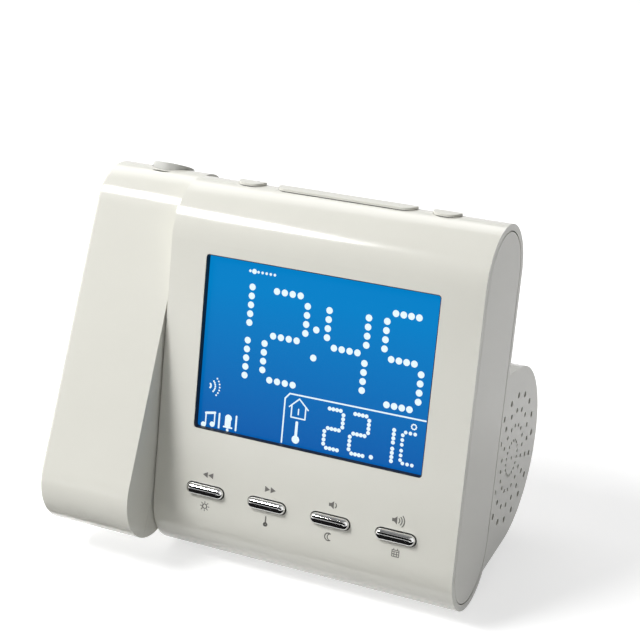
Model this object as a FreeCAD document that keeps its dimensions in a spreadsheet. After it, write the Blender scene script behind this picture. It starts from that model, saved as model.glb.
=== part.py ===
# Projection alarm clock: a leaning cabinet with a display window and seven
# buttons, a round speaker housing behind it, and a projector arm that turns on
# the cabinet's left end.
#
# Every piece of the cabinet and the arm is drawn upright: X runs to the
# viewer's right, Y back from the front face and Z up the face, with the origin
# at the middle of the display window. The pieces are then leaned back together.
# The clock stands on Z = 0, and the origin is the middle of its outline there.
import FreeCAD, Part

import math
import os
import re

import Sketcher
from FreeCAD import Placement, Rotation, Vector

SIZES = {
    # How the clock stands
    "lean": 12.56,
    "table_gap": 0.6,
    # Cabinet: a tube with two round sides, above and below a flat face
    "cabinet_radius": 17.0,
    "cabinet_top": 30.5,
    "cabinet_bottom": 53.3,
    "cabinet_left": 49.6,
    "cabinet_right": 50.2,
    "cabinet_wall": 2.0,
    "window_width": 75.0,
    "window_height": 54.35,
    "window_corner": 1.0,
    "end_thickness": 2.5,
    "end_gap": 0.25,
    "opening_margin": 3.0,
    "opening_top": 30.3,
    "opening_bottom": 50.0,
    "cover_gap": 0.1,
    # Speaker housing on the rear cover
    "housing_left": 49.1,
    "housing_right": 49.7,
    "housing_stand": 13.33,
    "housing_drop": 29.41,
    "housing_round": 28.2,
    "housing_belly": 2.0,
    "housing_floor": 22.4,
    "housing_wall": 2.0,
    "grille_thickness": 2.5,
    # Speaker and the holes in front of it
    "speaker_back": 2.27,
    "speaker_fall": 1.79,
    "speaker_radius": 20.5,
    "speaker_rim": 1.5,
    "cone_radius": 18.5,
    "basket_depth": 9.0,
    "basket_wall": 0.8,
    "magnet_radius": 11.0,
    "magnet_height": 8.0,
    "grille_spokes": 18,
    "grille_pitch": 4.95,
    "grille_first_ring": 5.7,
    "grille_first_hole": 0.55,
    "grille_hole_growth": 0.15,
    "speaker_screw_ring": 21.8,
    "speaker_peg_radius": 0.9,
    # Screws
    "screw_radius": 1.0,
    "screw_head_radius": 2.0,
    "screw_head_height": 1.2,
    "screw_length": 7.0,
    "screw_clearance": 0.06,
    "boss_radius": 2.4,
    "cover_screw_inset": 6.3,
    "cover_screw_height": 27.2,
    # Display
    "bezel_wall": 0.5,
    "bezel_inset": 0.15,
    "lcd_gap": 0.1,
    "glass_overlap": 1.8,
    "glass_thickness": 2.2,
    "diffuser_thickness": 3.0,
    "holder_wall": 0.8,
    "ledge_width": 2.4,
    "ledge_thickness": 1.8,
    # Boards
    "board_thickness": 1.6,
    "board_half_width": 40.2,
    "board_low": 35.6,
    "board_gap": 0.7,
    "board_post_x": 36.0,
    "board_post_inset": 2.4,
    "chip_side": 12.0,
    "chip_height": 1.6,
    "power_board_x": -25.0,
    "power_board_width": 26.0,
    "power_board_low": 1.0,
    "power_board_high": 23.0,
    "power_board_depth": 18.4,
    # Front buttons
    "key_middle": -0.1,
    "key_pitch": 21.1,
    "key_drop": 46.5,
    "key_slot_length": 13.3,
    "key_slot_height": 4.15,
    "key_gap": 0.3,
    "key_proud": 1.7,
    "key_dome": 1.5,
    "key_flange": 1.0,
    "key_flange_lip": 0.6,
    "key_travel": 0.6,
    "key_board_half_width": 39.5,
    "key_board_half_height": 5.8,
    # Top buttons
    "top_key_left": -32.3,
    "top_key_right": 30.9,
    "top_key_length": 9.0,
    "snooze_x": -0.8,
    "snooze_length": 45.1,
    "top_key_depth": 7.8,
    "top_key_gap": 0.2,
    "top_key_proud": 0.8,
    "top_key_flange": 1.2,
    "top_key_travel": 0.8,
    "top_board_half_depth": 5.8,
    "top_post_radius": 1.3,
    # Switches under the buttons
    "switch_side": 6.0,
    "switch_height": 3.4,
    "plunger_radius": 1.7,
    "plunger_height": 0.9,
    "travel_gap": 0.1,
    # Power inlet
    "jack_width": 9.0,
    "jack_x": -25.0,
    "jack_height": 12.0,
    "jack_bore": 3.0,
    "jack_bore_depth": 9.5,
    "jack_pin": 1.0,
    "jack_collar": 3.9,
    # Coin cell and its door
    "cell_x": 10.0,
    "cell_height": 14.0,
    "cell_radius": 10.0,
    "cell_thickness": 3.2,
    "door_width": 27.0,
    "door_height": 23.0,
    "door_thickness": 1.4,
    "door_gap": 0.3,
    "tray_wall": 1.2,
    "contact_thickness": 0.3,
    # Feet
    "front_foot_length": 16.0,
    "front_foot_width": 7.0,
    "front_foot_gap": 2.35,
    "rear_foot_radius": 5.0,
    "foot_inset": 14.0,
    "rear_foot_inset": 11.8,
    # Projector arm
    "arm_angle": 15.03,
    "pivot_height": 14.0,
    "arm_left": 81.6,
    "arm_gap": 0.4,
    "arm_above": 19.55,
    "arm_below": 66.3,
    "arm_top_radius": 14.61,
    "arm_bottom_radius": 15.67,
    "arm_wall": 2.0,
    "shell_gap": 0.1,
    "arm_screw_rise": 42.0,
    "arm_screw_low": 6.0,
    "arm_boss_radius": 2.8,
    "rib_thickness": 2.0,
    # Pivot
    "hub_radius": 6.0,
    "hub_bore": 4.0,
    "hub_clearance": 0.06,
    "hub_flange_radius": 10.0,
    "hub_flange": 2.4,
    "washer_thickness": 0.6,
    "retainer_radius": 9.0,
    "retainer_thickness": 1.6,
    "pivot_play": 0.05,
    # Projector inside the arm
    "projector_x": -65.0,
    "ring_radius": 6.6,
    "ring_proud": 0.9,
    "ring_gap": 0.3,
    "ring_bore": 5.2,
    "ring_flange_radius": 7.4,
    "ring_flange": 1.2,
    "ring_flange_drop": 5.5,
    "barrel_radius": 8.2,
    "barrel_wall": 1.3,
    "barrel_length": 30.0,
    "optics_clearance": 0.06,
    "cell_neck": 6.6,
    "cell_skirt": 5.0,
    "lens_radius": 4.2,
    "lens_edge": 1.2,
    "lens_bulge": 0.7,
    "lens_recess": 2.6,
    "slide_side": 9.2,
    "slide_thickness": 1.6,
    "condenser_thickness": 1.4,
    "led_radius": 2.5,
    "led_height": 3.6,
    "led_board_thickness": 1.2,
}

FUNCTIONS = ("sin", "cos", "sqrt")

doc = FreeCAD.newDocument("projection_alarm_clock")
sheet = doc.addObject("Spreadsheet::Sheet", "sizes")
for row, (name, value) in enumerate(SIZES.items(), start=1):
    sheet.set("A%d" % row, name)
    sheet.set("B%d" % row, str(value))
    sheet.setAlias("B%d" % row, name)
doc.recompute()


def bound(text):
    """The same sum with the sheet's name before each size."""
    def lead(found):
        word = found.group()
        return word if word in FUNCTIONS else "sizes." + word
    return re.sub(r"[a-z][a-z_]*", lead, str(text))


def num(text):
    """What a sum of sizes comes to."""
    value = sheet.evalExpression(bound(text))
    return float(getattr(value, "Value", value))


# Places along Y, from the front face back
WALL_BACK = "cabinet_wall"
GLASS_FRONT = "(cabinet_wall + lcd_gap)"
GLASS_BACK = "(%s + glass_thickness)" % GLASS_FRONT
DIFFUSER_FRONT = "(%s + lcd_gap)" % GLASS_BACK
DIFFUSER_BACK = "(%s + diffuser_thickness)" % DIFFUSER_FRONT
LEDGE_FRONT = "(%s + lcd_gap)" % DIFFUSER_BACK
HOLDER_BACK = "(%s + ledge_thickness)" % LEDGE_FRONT
BOARD_FRONT = "(%s + lcd_gap)" % HOLDER_BACK
BOARD_BACK = "(%s + board_thickness)" % BOARD_FRONT
REAR_INSIDE = "(2 * cabinet_radius - cabinet_wall)"
COVER_FACE = "(2 * cabinet_radius + cover_gap)"
KEY_FLANGE_FRONT = "(cabinet_wall + travel_gap)"
KEY_BACK = "(%s + key_flange)" % KEY_FLANGE_FRONT
PLUNGER_FRONT = "(%s + key_travel + travel_gap)" % KEY_BACK
SWITCH_FRONT = "(%s + plunger_height)" % PLUNGER_FRONT
KEY_BOARD_FRONT = "(%s + switch_height)" % SWITCH_FRONT
KEY_BOARD_BACK = "(%s + board_thickness)" % KEY_BOARD_FRONT

# Places along Z, down from the crown of the cabinet
CROWN_INSIDE = "(cabinet_top + cabinet_radius - cabinet_wall)"
TOP_FLANGE_TOP = "(%s - top_key_flange)" % CROWN_INSIDE
TOP_FLANGE_BOTTOM = "(%s - top_key_flange)" % TOP_FLANGE_TOP
TOP_PLUNGER = "(%s - top_key_travel - travel_gap)" % TOP_FLANGE_BOTTOM
TOP_SWITCH = "(%s - plunger_height)" % TOP_PLUNGER
TOP_BOARD_TOP = "(%s - switch_height)" % TOP_SWITCH
TOP_BOARD_BOTTOM = "(%s - board_thickness)" % TOP_BOARD_TOP
BOARD_TOP = "(%s - board_gap)" % TOP_BOARD_BOTTOM

# Places along X
LEFT_END = "(-cabinet_left)"
LEFT_INSIDE = "(end_thickness - cabinet_left)"
RIGHT_INSIDE = "(cabinet_right - end_thickness)"
GRILLE_INSIDE = "(housing_right - grille_thickness)"
ARM_RIGHT = "(-cabinet_left - arm_gap)"
ARM_LEFT = "(-arm_left)"

# Centres of the rounds, as places along Y and Z
CABINET_UPPER = ("cabinet_radius", "cabinet_top")
CABINET_LOWER = ("cabinet_radius", "-cabinet_bottom")
PIVOT = ("cabinet_radius", "pivot_height")
ARM_UPPER = ("cabinet_radius", "pivot_height + arm_above")
ARM_LOWER = ("cabinet_radius", "pivot_height - arm_below")
HOUSING_DEPTH = "(2 * cabinet_radius + housing_stand)"
HOUSING_UPPER = (HOUSING_DEPTH, "-housing_drop")
HOUSING_LOWER = (HOUSING_DEPTH + " - housing_belly * cos(lean)", "-housing_drop - housing_belly * sin(lean)")
SPEAKER = ("(%s + speaker_back)" % HOUSING_DEPTH, "(-housing_drop - speaker_fall)")

# Places on the leaned cabinet: the lower round's middle, the table, the housing's level underside,
# and where that underside meets the lower round
LOWER_Y = "(cabinet_radius * cos(lean) - cabinet_bottom * sin(lean))"
LOWER_Z = "(-cabinet_bottom * cos(lean) - cabinet_radius * sin(lean))"
TABLE = "(%s - cabinet_radius - table_gap)" % LOWER_Z
UNDERSIDE = "(-%s * sin(lean) - housing_drop * cos(lean) - housing_round - housing_belly)" % HOUSING_DEPTH
MEET_ROUND = "(cabinet_radius + cover_gap)"
MEET_FALL = "(%s - %s)" % (LOWER_Z, UNDERSIDE)
MEET = "(%s + sqrt(%s * %s - %s * %s))" % (LOWER_Y, MEET_ROUND, MEET_ROUND, MEET_FALL, MEET_FALL)

# Places along Z inside the arm
ARM_CROWN = "(pivot_height + arm_above + arm_top_radius)"
RING_TOP = "(%s + ring_proud)" % ARM_CROWN
RING_FLANGE_TOP = "(%s - ring_flange_drop)" % ARM_CROWN
RING_BOTTOM = "(%s - ring_flange)" % RING_FLANGE_TOP
BARREL_TOP = "(%s - travel_gap)" % RING_BOTTOM
BARREL_BOTTOM = "(%s - barrel_length)" % BARREL_TOP
CELL_TOP = "(%s - lens_recess)" % RING_TOP
CELL_SHOULDER = "(%s - cell_neck)" % CELL_TOP
CELL_BOTTOM = "(%s - cell_skirt)" % CELL_SHOULDER

PLANES = {"front": "XZ_Plane", "side": "YZ_Plane", "top": "XY_Plane"}


def new_body(label):
    body = doc.addObject("PartDesign::Body", label)
    body.Label = label
    body.AllowCompound = True
    return body


def sketch_on(body, plane, place, across=None, along=None):
    """A sketch square to Y, X or Z at a place along it, perhaps with its own centre."""
    sketch = body.newObject("Sketcher::SketchObject", body.Label + "_outline")
    roles = {feature.Role: feature for feature in body.Origin.OriginFeatures}
    sketch.AttachmentSupport = [(roles[PLANES[plane]], "")]
    sketch.MapMode = "FlatFace"
    sense = "-1" if plane == "front" else "1"
    sketch.setExpression("AttachmentOffset.Base.z", "%s * (%s)" % (sense, bound(place)))
    if across is not None:
        sketch.setExpression("AttachmentOffset.Base.x", bound(across))
        sketch.setExpression("AttachmentOffset.Base.y", bound(along))
    return sketch


def hold(sketch, kind, places, text):
    """A driven measure of a sketch, tied to the sheet."""
    index = sketch.addConstraint(Sketcher.Constraint(kind, *places, num(text)))
    sketch.setExpression("Constraints[%d]" % index, bound(text))


def pin(sketch, element, point, across, along):
    hold(sketch, "DistanceX", (-1, 1, element, point), across)
    hold(sketch, "DistanceY", (-1, 1, element, point), along)


def circle(sketch, centre, radius):
    middle = Vector(num(centre[0]), num(centre[1]), 0)
    element = sketch.addGeometry(Part.Circle(middle, Vector(0, 0, 1), num(radius)))
    pin(sketch, element, 3, *centre)
    hold(sketch, "Radius", (element,), radius)


def line(sketch, start, end):
    return sketch.addGeometry(Part.LineSegment(start, end))


def arc(sketch, middle, radius, first, last):
    ring = Part.Circle(middle, Vector(0, 0, 1), radius)
    return sketch.addGeometry(Part.ArcOfCircle(ring, first, last))


def at_angle(middle, radius, angle):
    return middle + Vector(radius * math.cos(angle), radius * math.sin(angle), 0)


def capsule(sketch, first, second, first_radius, second_radius):
    """Two rounds joined by the straight sides that touch both."""
    one = Vector(num(first[0]), num(first[1]), 0)
    two = Vector(num(second[0]), num(second[1]), 0)
    small, large = num(first_radius), num(second_radius)
    way = math.atan2(two.y - one.y, two.x - one.x)
    spread = math.acos((small - large) / one.distanceToPoint(two))
    low, high = way - spread, way + spread
    start = arc(sketch, one, small, high, low + 2 * math.pi)
    side = line(sketch, at_angle(one, small, low), at_angle(two, large, low))
    end = arc(sketch, two, large, low, high)
    back = line(sketch, at_angle(two, large, high), at_angle(one, small, high))
    for before, after in ((start, side), (side, end), (end, back), (back, start)):
        sketch.addConstraint(Sketcher.Constraint("Tangent", before, 2, after, 1))
    pin(sketch, start, 3, *first)
    pin(sketch, end, 3, *second)
    hold(sketch, "Radius", (start,), first_radius)
    hold(sketch, "Radius", (end,), second_radius)


def level_slot(sketch, middle, length, height):
    """A slot with round ends, lying level."""
    reach = "(%s - %s) / 2" % (length, height)
    first = ("%s - %s" % (middle[0], reach), middle[1])
    second = ("%s + %s" % (middle[0], reach), middle[1])
    capsule(sketch, first, second, "(%s) / 2" % height, "(%s) / 2" % height)


def outline(sketch, corners):
    """A closed outline: each corner is a place and, where the next side is round, (radius, centre, turn)."""
    count = len(corners)
    points = [Vector(num(corner[0]), num(corner[1]), 0) for corner in corners]
    ends = []
    for index, corner in enumerate(corners):
        start, stop = points[index], points[(index + 1) % count]
        if corner[2] is None:
            ends.append((line(sketch, start, stop), 1, 2))
            continue
        radius, centre, turn = corner[2]
        middle = Vector(num(centre[0]), num(centre[1]), 0)
        first = math.atan2(start.y - middle.y, start.x - middle.x)
        last = math.atan2(stop.y - middle.y, stop.x - middle.x)
        if turn < 0:
            first, last = last, first
        if last < first:
            last += 2 * math.pi
        element = arc(sketch, middle, num(radius), first, last)
        ends.append((element, 1, 2) if turn > 0 else (element, 2, 1))
    for index, (element, start, stop) in enumerate(ends):
        following = ends[(index + 1) % count]
        sketch.addConstraint(Sketcher.Constraint("Coincident", element, stop, following[0], following[1]))
        pin(sketch, element, start, corners[index][0], corners[index][1])
        if corners[index][2] is not None:
            hold(sketch, "Radius", (element,), corners[index][2][0])


def box(sketch, left, right, low, high):
    outline(sketch, [(left, low, None), (right, low, None), (right, high, None), (left, high, None)])


def round_box(sketch, half_width, half_height, corner):
    """A box about the sketch's middle with four round corners."""
    sides = []
    for across, along, turn in ((-1, -1, 0), (1, -1, 1), (1, 1, 2), (-1, 1, 3)):
        x = "%d * (%s)" % (across, half_width)
        y = "%d * (%s)" % (along, half_height)
        inner_x = "%d * (%s - %s)" % (across, half_width, corner)
        inner_y = "%d * (%s - %s)" % (along, half_height, corner)
        before, after = ((x, inner_y), (inner_x, y))
        if turn % 2:
            before, after = after, before
        sides.append((before[0], before[1], (corner, (inner_x, inner_y), 1)))
        sides.append((after[0], after[1], None))
    outline(sketch, sides)


def add(body, plane, start, end, draw, across=None, along=None):
    """Raise what a function draws, from one place to a further one."""
    sketch = sketch_on(body, plane, start, across, along)
    draw(sketch)
    feature = body.newObject("PartDesign::Pad", body.Label + "_pad")
    feature.Profile = sketch
    feature.Reversed = plane == "front"
    feature.setExpression("Length", bound("(%s) - (%s)" % (end, start)))
    doc.recompute()
    return feature


def cut(body, plane, start, end, draw, across=None, along=None):
    """Cut what a function draws, from one place to a further one."""
    doc.recompute()
    before = body.Tip.Shape.Volume
    sketch = sketch_on(body, plane, start, across, along)
    draw(sketch)
    feature = body.newObject("PartDesign::Pocket", body.Label + "_cut")
    feature.Profile = sketch
    feature.Reversed = plane != "front"
    feature.setExpression("Length", bound("(%s) - (%s)" % (end, start)))
    doc.recompute()
    if not feature.Shape.Volume < before:
        raise RuntimeError(body.Label + ": a cut took nothing away")
    return feature


def turn(body, across, along, draw):
    """Turn a half profile about an upright axis, at a place along X and Y."""
    sketch = sketch_on(body, "front", along, across, "0")
    draw(sketch)
    feature = body.newObject("PartDesign::Revolution", body.Label + "_turned")
    feature.Profile = sketch
    feature.ReferenceAxis = (sketch, ["V_Axis"])
    doc.recompute()
    return feature


def spin(body, depth, height, draw):
    """Turn a half profile about a level axis along X, at a place along Y and Z."""
    sketch = sketch_on(body, "top", height, "0", depth)
    draw(sketch)
    feature = body.newObject("PartDesign::Revolution", body.Label + "_spun")
    feature.Profile = sketch
    feature.ReferenceAxis = (sketch, ["H_Axis"])
    doc.recompute()
    return feature


def ease(body, radius, chosen, kind="Fillet"):
    """Round or bevel the edges that a test picks."""
    doc.recompute()
    base = body.Tip
    names = ["Edge%d" % (place + 1) for place, edge in enumerate(base.Shape.Edges) if chosen(edge)]
    feature = body.newObject("PartDesign::" + kind, body.Label + "_eased")
    feature.Base = (base, names)
    feature.setExpression("Radius" if kind == "Fillet" else "Size", bound(radius))
    doc.recompute()


def flat_at(axis, place):
    """A test for edges that lie wholly at one place along an axis."""
    level = num(place)

    def lies_there(edge):
        bounds = edge.BoundBox
        low, high = getattr(bounds, axis + "Min"), getattr(bounds, axis + "Max")
        return abs(low - level) < 0.001 and abs(high - level) < 0.001
    return lies_there


def key_places():
    """The four front buttons' places along X."""
    return ["(key_middle + (%s) * key_pitch)" % step for step in ("-1.5", "-0.5", "0.5", "1.5")]


def top_key_places():
    return {
        "alarm_button": ("top_key_left", "top_key_length"),
        "snooze_bar": ("snooze_x", "snooze_length"),
        "sleep_button": ("top_key_right", "top_key_length"),
    }


def board_posts():
    low = "(board_post_inset - board_low)"
    high = "(%s - board_post_inset)" % BOARD_TOP
    return [("%s * board_post_x" % x, height) for x in (-1, 1) for height in (low, high)]


def key_posts():
    return [("(key_middle - key_pitch)", "(-key_drop)"), ("(key_middle + key_pitch)", "(-key_drop)")]


def top_posts():
    """Between the snooze bar and the button on each side of it."""
    left = "((top_key_left + top_key_length / 2 + snooze_x - snooze_length / 2) / 2)"
    right = "((top_key_right - top_key_length / 2 + snooze_x + snooze_length / 2) / 2)"
    return [(left, "cabinet_radius"), (right, "cabinet_radius")]


def cover_screw_places():
    left = "(cover_screw_inset - cabinet_left)"
    right = "(cabinet_right - cover_screw_inset)"
    return [(left, "cover_screw_height"), (right, "cover_screw_height")]


def circles(places, radius):
    def draw(sketch):
        for place in places:
            circle(sketch, place, radius)
    return draw


def cabinet_outline(inset):
    def draw(sketch):
        radius = "(cabinet_radius - %s)" % inset
        capsule(sketch, CABINET_LOWER, CABINET_UPPER, radius, radius)
    return draw


def front_cabinet():
    body = new_body("front_cabinet")

    def tube(sketch):
        cabinet_outline("0")(sketch)
        cabinet_outline("cabinet_wall")(sketch)
    add(body, "side", LEFT_END, "cabinet_right", tube)
    add(body, "front", WALL_BACK, BOARD_FRONT, circles(board_posts(), "boss_radius"))
    add(body, "front", WALL_BACK, KEY_BOARD_FRONT, circles(key_posts(), "boss_radius"))
    add(body, "front", WALL_BACK, REAR_INSIDE, circles(cover_screw_places(), "boss_radius"))
    add(body, "top", TOP_BOARD_TOP, CROWN_INSIDE, circles(top_posts(), "top_post_radius"))

    def window(sketch):
        round_box(sketch, "window_width / 2", "window_height / 2", "window_corner")
    cut(body, "front", "-cabinet_wall", "2 * cabinet_wall", window)

    def key_slots(sketch):
        for place in key_places():
            level_slot(sketch, (place, "-key_drop"), "key_slot_length", "key_slot_height")
    cut(body, "front", "-cabinet_wall", "cabinet_wall + lcd_gap", key_slots)

    def top_slots(sketch):
        for place, length in top_key_places().values():
            level_slot(sketch, (place, "cabinet_radius"), length, "top_key_depth")
    cut(body, "top", TOP_FLANGE_TOP, "cabinet_top + 2 * cabinet_radius", top_slots)

    def opening(sketch):
        box(sketch, "opening_margin - cabinet_left", "cabinet_right - opening_margin",
            "-opening_bottom", "opening_top")
    cut(body, "front", REAR_INSIDE, "3 * cabinet_radius", opening)
    pilot = "(screw_radius + screw_clearance)"
    cut(body, "front", BOARD_BACK + " - screw_length", BOARD_FRONT, circles(board_posts(), pilot))
    cut(body, "front", KEY_BOARD_BACK + " - screw_length", KEY_BOARD_FRONT, circles(key_posts(), pilot))
    cut(body, "front", COVER_FACE + " - screw_head_height - screw_length", REAR_INSIDE,
        circles(cover_screw_places(), pilot))
    return body


def right_end_cap():
    """A flush panel inside the cabinet's right rim."""
    body = new_body("right_end_cap")
    add(body, "side", RIGHT_INSIDE, "cabinet_right", cabinet_outline("(cabinet_wall + end_gap)"))
    ease(body, "end_gap", flat_at("X", "cabinet_right"))
    return body


def left_end_plate():
    """The panel that closes the left end and carries the arm's pivot."""
    body = new_body("left_end_plate")
    add(body, "side", LEFT_END, LEFT_INSIDE, cabinet_outline("(cabinet_wall + end_gap)"))
    cut(body, "side", LEFT_END, LEFT_INSIDE, circles([PIVOT], "hub_radius + hub_clearance"))
    return body


def housing_corners(inset):
    """The round part of the housing's outline, from the top's flat to the underside's front."""
    upper = "(housing_round - %s)" % inset
    lower = "(housing_round + housing_belly - %s)" % inset
    rear = (
        "%s + %s * cos(lean)" % (HOUSING_DEPTH, upper),
        "%s * sin(lean) - housing_drop" % upper,
    )
    under_y = "%s + %s * sin(lean)" % (HOUSING_LOWER[0], lower)
    under_z = "%s - %s * cos(lean)" % (HOUSING_LOWER[1], lower)
    return [
        (HOUSING_DEPTH, "%s - housing_drop" % upper, (upper, HOUSING_UPPER, -1)),
        (rear[0], rear[1], (lower, HOUSING_LOWER, -1)),
        (under_y, under_z, None),
    ]


def housing_outline(sketch):
    """The housing seen from the side: it sits on the cabinet's flat back and lower round."""
    top, rear, under = housing_corners("0")
    meet_y = "%s * cos(lean) - %s * sin(lean)" % (MEET, UNDERSIDE)
    meet_z = "%s * sin(lean) + %s * cos(lean)" % (MEET, UNDERSIDE)
    outline(sketch, [
        (COVER_FACE, "housing_round - housing_drop", None),
        top,
        rear,
        under,
        (meet_y, meet_z, (MEET_ROUND, CABINET_LOWER, 1)),
        (COVER_FACE, "-cabinet_bottom", None),
    ])


def rear_cover():
    """The back plate with the speaker housing, coin cell tray and power board posts moulded on."""
    body = new_body("rear_cover")
    add(body, "side", "-housing_left", GRILLE_INSIDE, housing_outline)

    def plate(sketch):
        box(sketch, "opening_margin + cover_gap - cabinet_left", "cabinet_right - opening_margin - cover_gap",
            "cover_gap - opening_bottom", "opening_top - cover_gap")
    add(body, "front", REAR_INSIDE, COVER_FACE, plate)

    def hollow(sketch):
        top, rear, under = housing_corners("housing_wall")
        lip = "(2 * housing_wall - opening_bottom)"
        outline(sketch, [
            (REAR_INSIDE + " - housing_wall", "housing_round - housing_wall - housing_drop", None),
            top,
            rear,
            under,
            ("%s - housing_floor * cos(lean) / 2" % under[0],
             "%s - housing_floor * sin(lean) / 2" % under[1], None),
            (COVER_FACE + " + housing_wall", "-cabinet_bottom", None),
            (COVER_FACE + " + housing_wall", lip, None),
            (REAR_INSIDE + " - housing_wall", lip, None),
        ])
    cut(body, "side", "housing_wall - housing_left", GRILLE_INSIDE, hollow)

    tray_front = "(%s - door_thickness - cell_thickness - tray_wall - 3 * contact_thickness)" % COVER_FACE

    def tray(sketch):
        box(sketch, "cell_x - door_width / 2", "cell_x + door_width / 2",
            "cell_height - door_height / 2", "cell_height + door_height / 2")
    add(body, "front", tray_front, COVER_FACE + " - cabinet_wall / 2", tray)

    def door_recess(sketch):
        box(sketch, "cell_x - door_width / 2 - door_gap", "cell_x + door_width / 2 + door_gap",
            "cell_height - door_height / 2 - door_gap", "cell_height + door_height / 2 + door_gap")
    cut(body, "front", COVER_FACE + " - door_thickness - travel_gap", COVER_FACE, door_recess)
    cell_hole = circles([("cell_x", "cell_height")], "cell_radius + door_gap")
    cut(body, "front", tray_front + " + tray_wall", COVER_FACE, cell_hole)

    jack = [("jack_x", "jack_height")]
    cut(body, "front", REAR_INSIDE, COVER_FACE, circles(jack, "jack_collar + cover_gap"))
    posts = power_posts()
    add(body, "front", "power_board_depth + board_thickness", REAR_INSIDE, circles(posts, "plunger_radius"))
    screws = cover_screw_places()
    cut(body, "front", REAR_INSIDE, COVER_FACE, circles(screws, "screw_radius + screw_clearance"))
    cut(body, "front", COVER_FACE + " - screw_head_height", COVER_FACE,
        circles(screws, "screw_head_radius + screw_clearance"))
    return body


def power_posts():
    edge = "power_board_width / 2 - 3 * screw_radius"
    return [
        ("power_board_x - (%s)" % edge, "power_board_low + 3 * screw_radius"),
        ("power_board_x + (%s)" % edge, "power_board_high - 3 * screw_radius"),
    ]


def speaker_screw_places():
    side = "speaker_screw_ring / 2"
    rise = "speaker_screw_ring * sqrt(3) / 2"
    depth, height = SPEAKER
    return [("%s %s %s" % (depth, y, side), "%s %s %s" % (height, z, rise)) for y in "+-" for z in "+-"]


def speaker_cover():
    """The housing's right side, drilled in rings of graded holes on one set of spokes."""
    body = new_body("speaker_cover")
    add(body, "side", GRILLE_INSIDE, "housing_right", housing_outline)
    flange_front = "(%s - speaker_rim)" % GRILLE_INSIDE
    add(body, "side", flange_front, GRILLE_INSIDE, circles(speaker_screw_places(), "speaker_peg_radius"))
    cut(body, "side", GRILLE_INSIDE, "housing_right", circles([SPEAKER], "grille_first_hole"))
    for ring in range(4):
        reach = "(grille_first_ring + %d * grille_pitch)" % ring
        radius = "grille_first_hole + %d * grille_hole_growth" % ring
        first = ("%s * cos(180 / grille_spokes)" % reach, "%s * sin(180 / grille_spokes)" % reach)
        hole = cut(body, "side", GRILLE_INSIDE, "housing_right", circles([first], radius), *SPEAKER)
        spokes = body.newObject("PartDesign::PolarPattern", body.Label + "_spokes")
        spokes.Originals = [hole]
        spokes.Axis = (hole.Profile[0], ["N_Axis"])
        spokes.Angle = 360
        spokes.setExpression("Occurrences", "sizes.grille_spokes")
        body.Tip = spokes
        doc.recompute()
    return body


def speaker():
    """A small loudspeaker: pressed basket, paper cone and magnet."""
    rim_front = "(%s - speaker_rim)" % GRILLE_INSIDE
    neck = "(%s - basket_depth)" % rim_front
    frame = new_body("speaker_frame")
    spin(frame, *SPEAKER, lambda sketch: outline(sketch, [
        (neck, "0", None),
        (neck, "magnet_radius", None),
        (rim_front, "cone_radius", None),
        (rim_front, "speaker_radius", None),
        (GRILLE_INSIDE, "speaker_radius", None),
        (GRILLE_INSIDE, "cone_radius", None),
        (rim_front, "cone_radius - basket_wall", None),
        (neck + " + basket_wall", "magnet_radius - basket_wall", None),
        (neck + " + basket_wall", "0", None),
    ]))
    cone = new_body("speaker_cone")
    base = neck + " + basket_wall + lcd_gap"
    edge = "(cone_radius - 2 * basket_wall)"
    spin(cone, *SPEAKER, lambda sketch: outline(sketch, [
        (base, "0", None),
        (base, "magnet_radius / 2", None),
        (rim_front, edge, None),
        (GRILLE_INSIDE + " - basket_wall", edge, None),
        (GRILLE_INSIDE + " - basket_wall", edge + " - basket_wall", None),
        (rim_front, edge + " - basket_wall", None),
        (base + " + basket_wall", "magnet_radius / 2 - basket_wall", None),
        (base + " + basket_wall", "0", None),
    ]))
    magnet = new_body("speaker_magnet")
    add(magnet, "side", "%s - magnet_height" % neck, neck, circles([SPEAKER], "magnet_radius"))
    ease(magnet, "basket_wall", flat_at("X", "%s - magnet_height" % neck))
    screws = new_body("speaker_screws")
    add(screws, "side", "%s - screw_head_height" % rim_front, rim_front,
        circles(speaker_screw_places(), "screw_head_radius"))
    return [frame, cone, magnet, screws]


def display():
    """The window's lining, the display's glass, the light guide and the frame that clamps them."""
    bezel = new_body("lcd_bezel")
    add(bezel, "front", "bezel_inset", GLASS_FRONT + " - lcd_gap / 2", lambda sketch: round_box(
        sketch, "window_width / 2 - lcd_gap / 2", "window_height / 2 - lcd_gap / 2", "window_corner"))
    cut(bezel, "front", "0", GLASS_FRONT, lambda sketch: round_box(
        sketch, "window_width / 2 - bezel_wall", "window_height / 2 - bezel_wall", "bezel_wall"))
    half_width = "(window_width / 2 + glass_overlap)"
    half_height = "(window_height / 2 + glass_overlap)"

    def plate(label, front, back):
        body = new_body(label)
        add(body, "front", front, back, lambda sketch: box(
            sketch, "-" + half_width, half_width, "-" + half_height, half_height))
        return body
    glass = plate("lcd_glass", GLASS_FRONT, GLASS_BACK)
    diffuser = plate("lcd_diffuser", DIFFUSER_FRONT, DIFFUSER_BACK)
    holder = new_body("lcd_holder")

    def frame(margin):
        return lambda sketch: round_box(
            sketch, "%s + %s" % (half_width, margin), "%s + %s" % (half_height, margin), "bezel_wall")
    add(holder, "front", GLASS_FRONT, HOLDER_BACK, frame("(lcd_gap + holder_wall)"))
    cut(holder, "front", WALL_BACK, LEDGE_FRONT, frame("lcd_gap"))
    cut(holder, "front", WALL_BACK, HOLDER_BACK, frame("(-ledge_width)"))
    return [bezel, glass, diffuser, holder]


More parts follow.
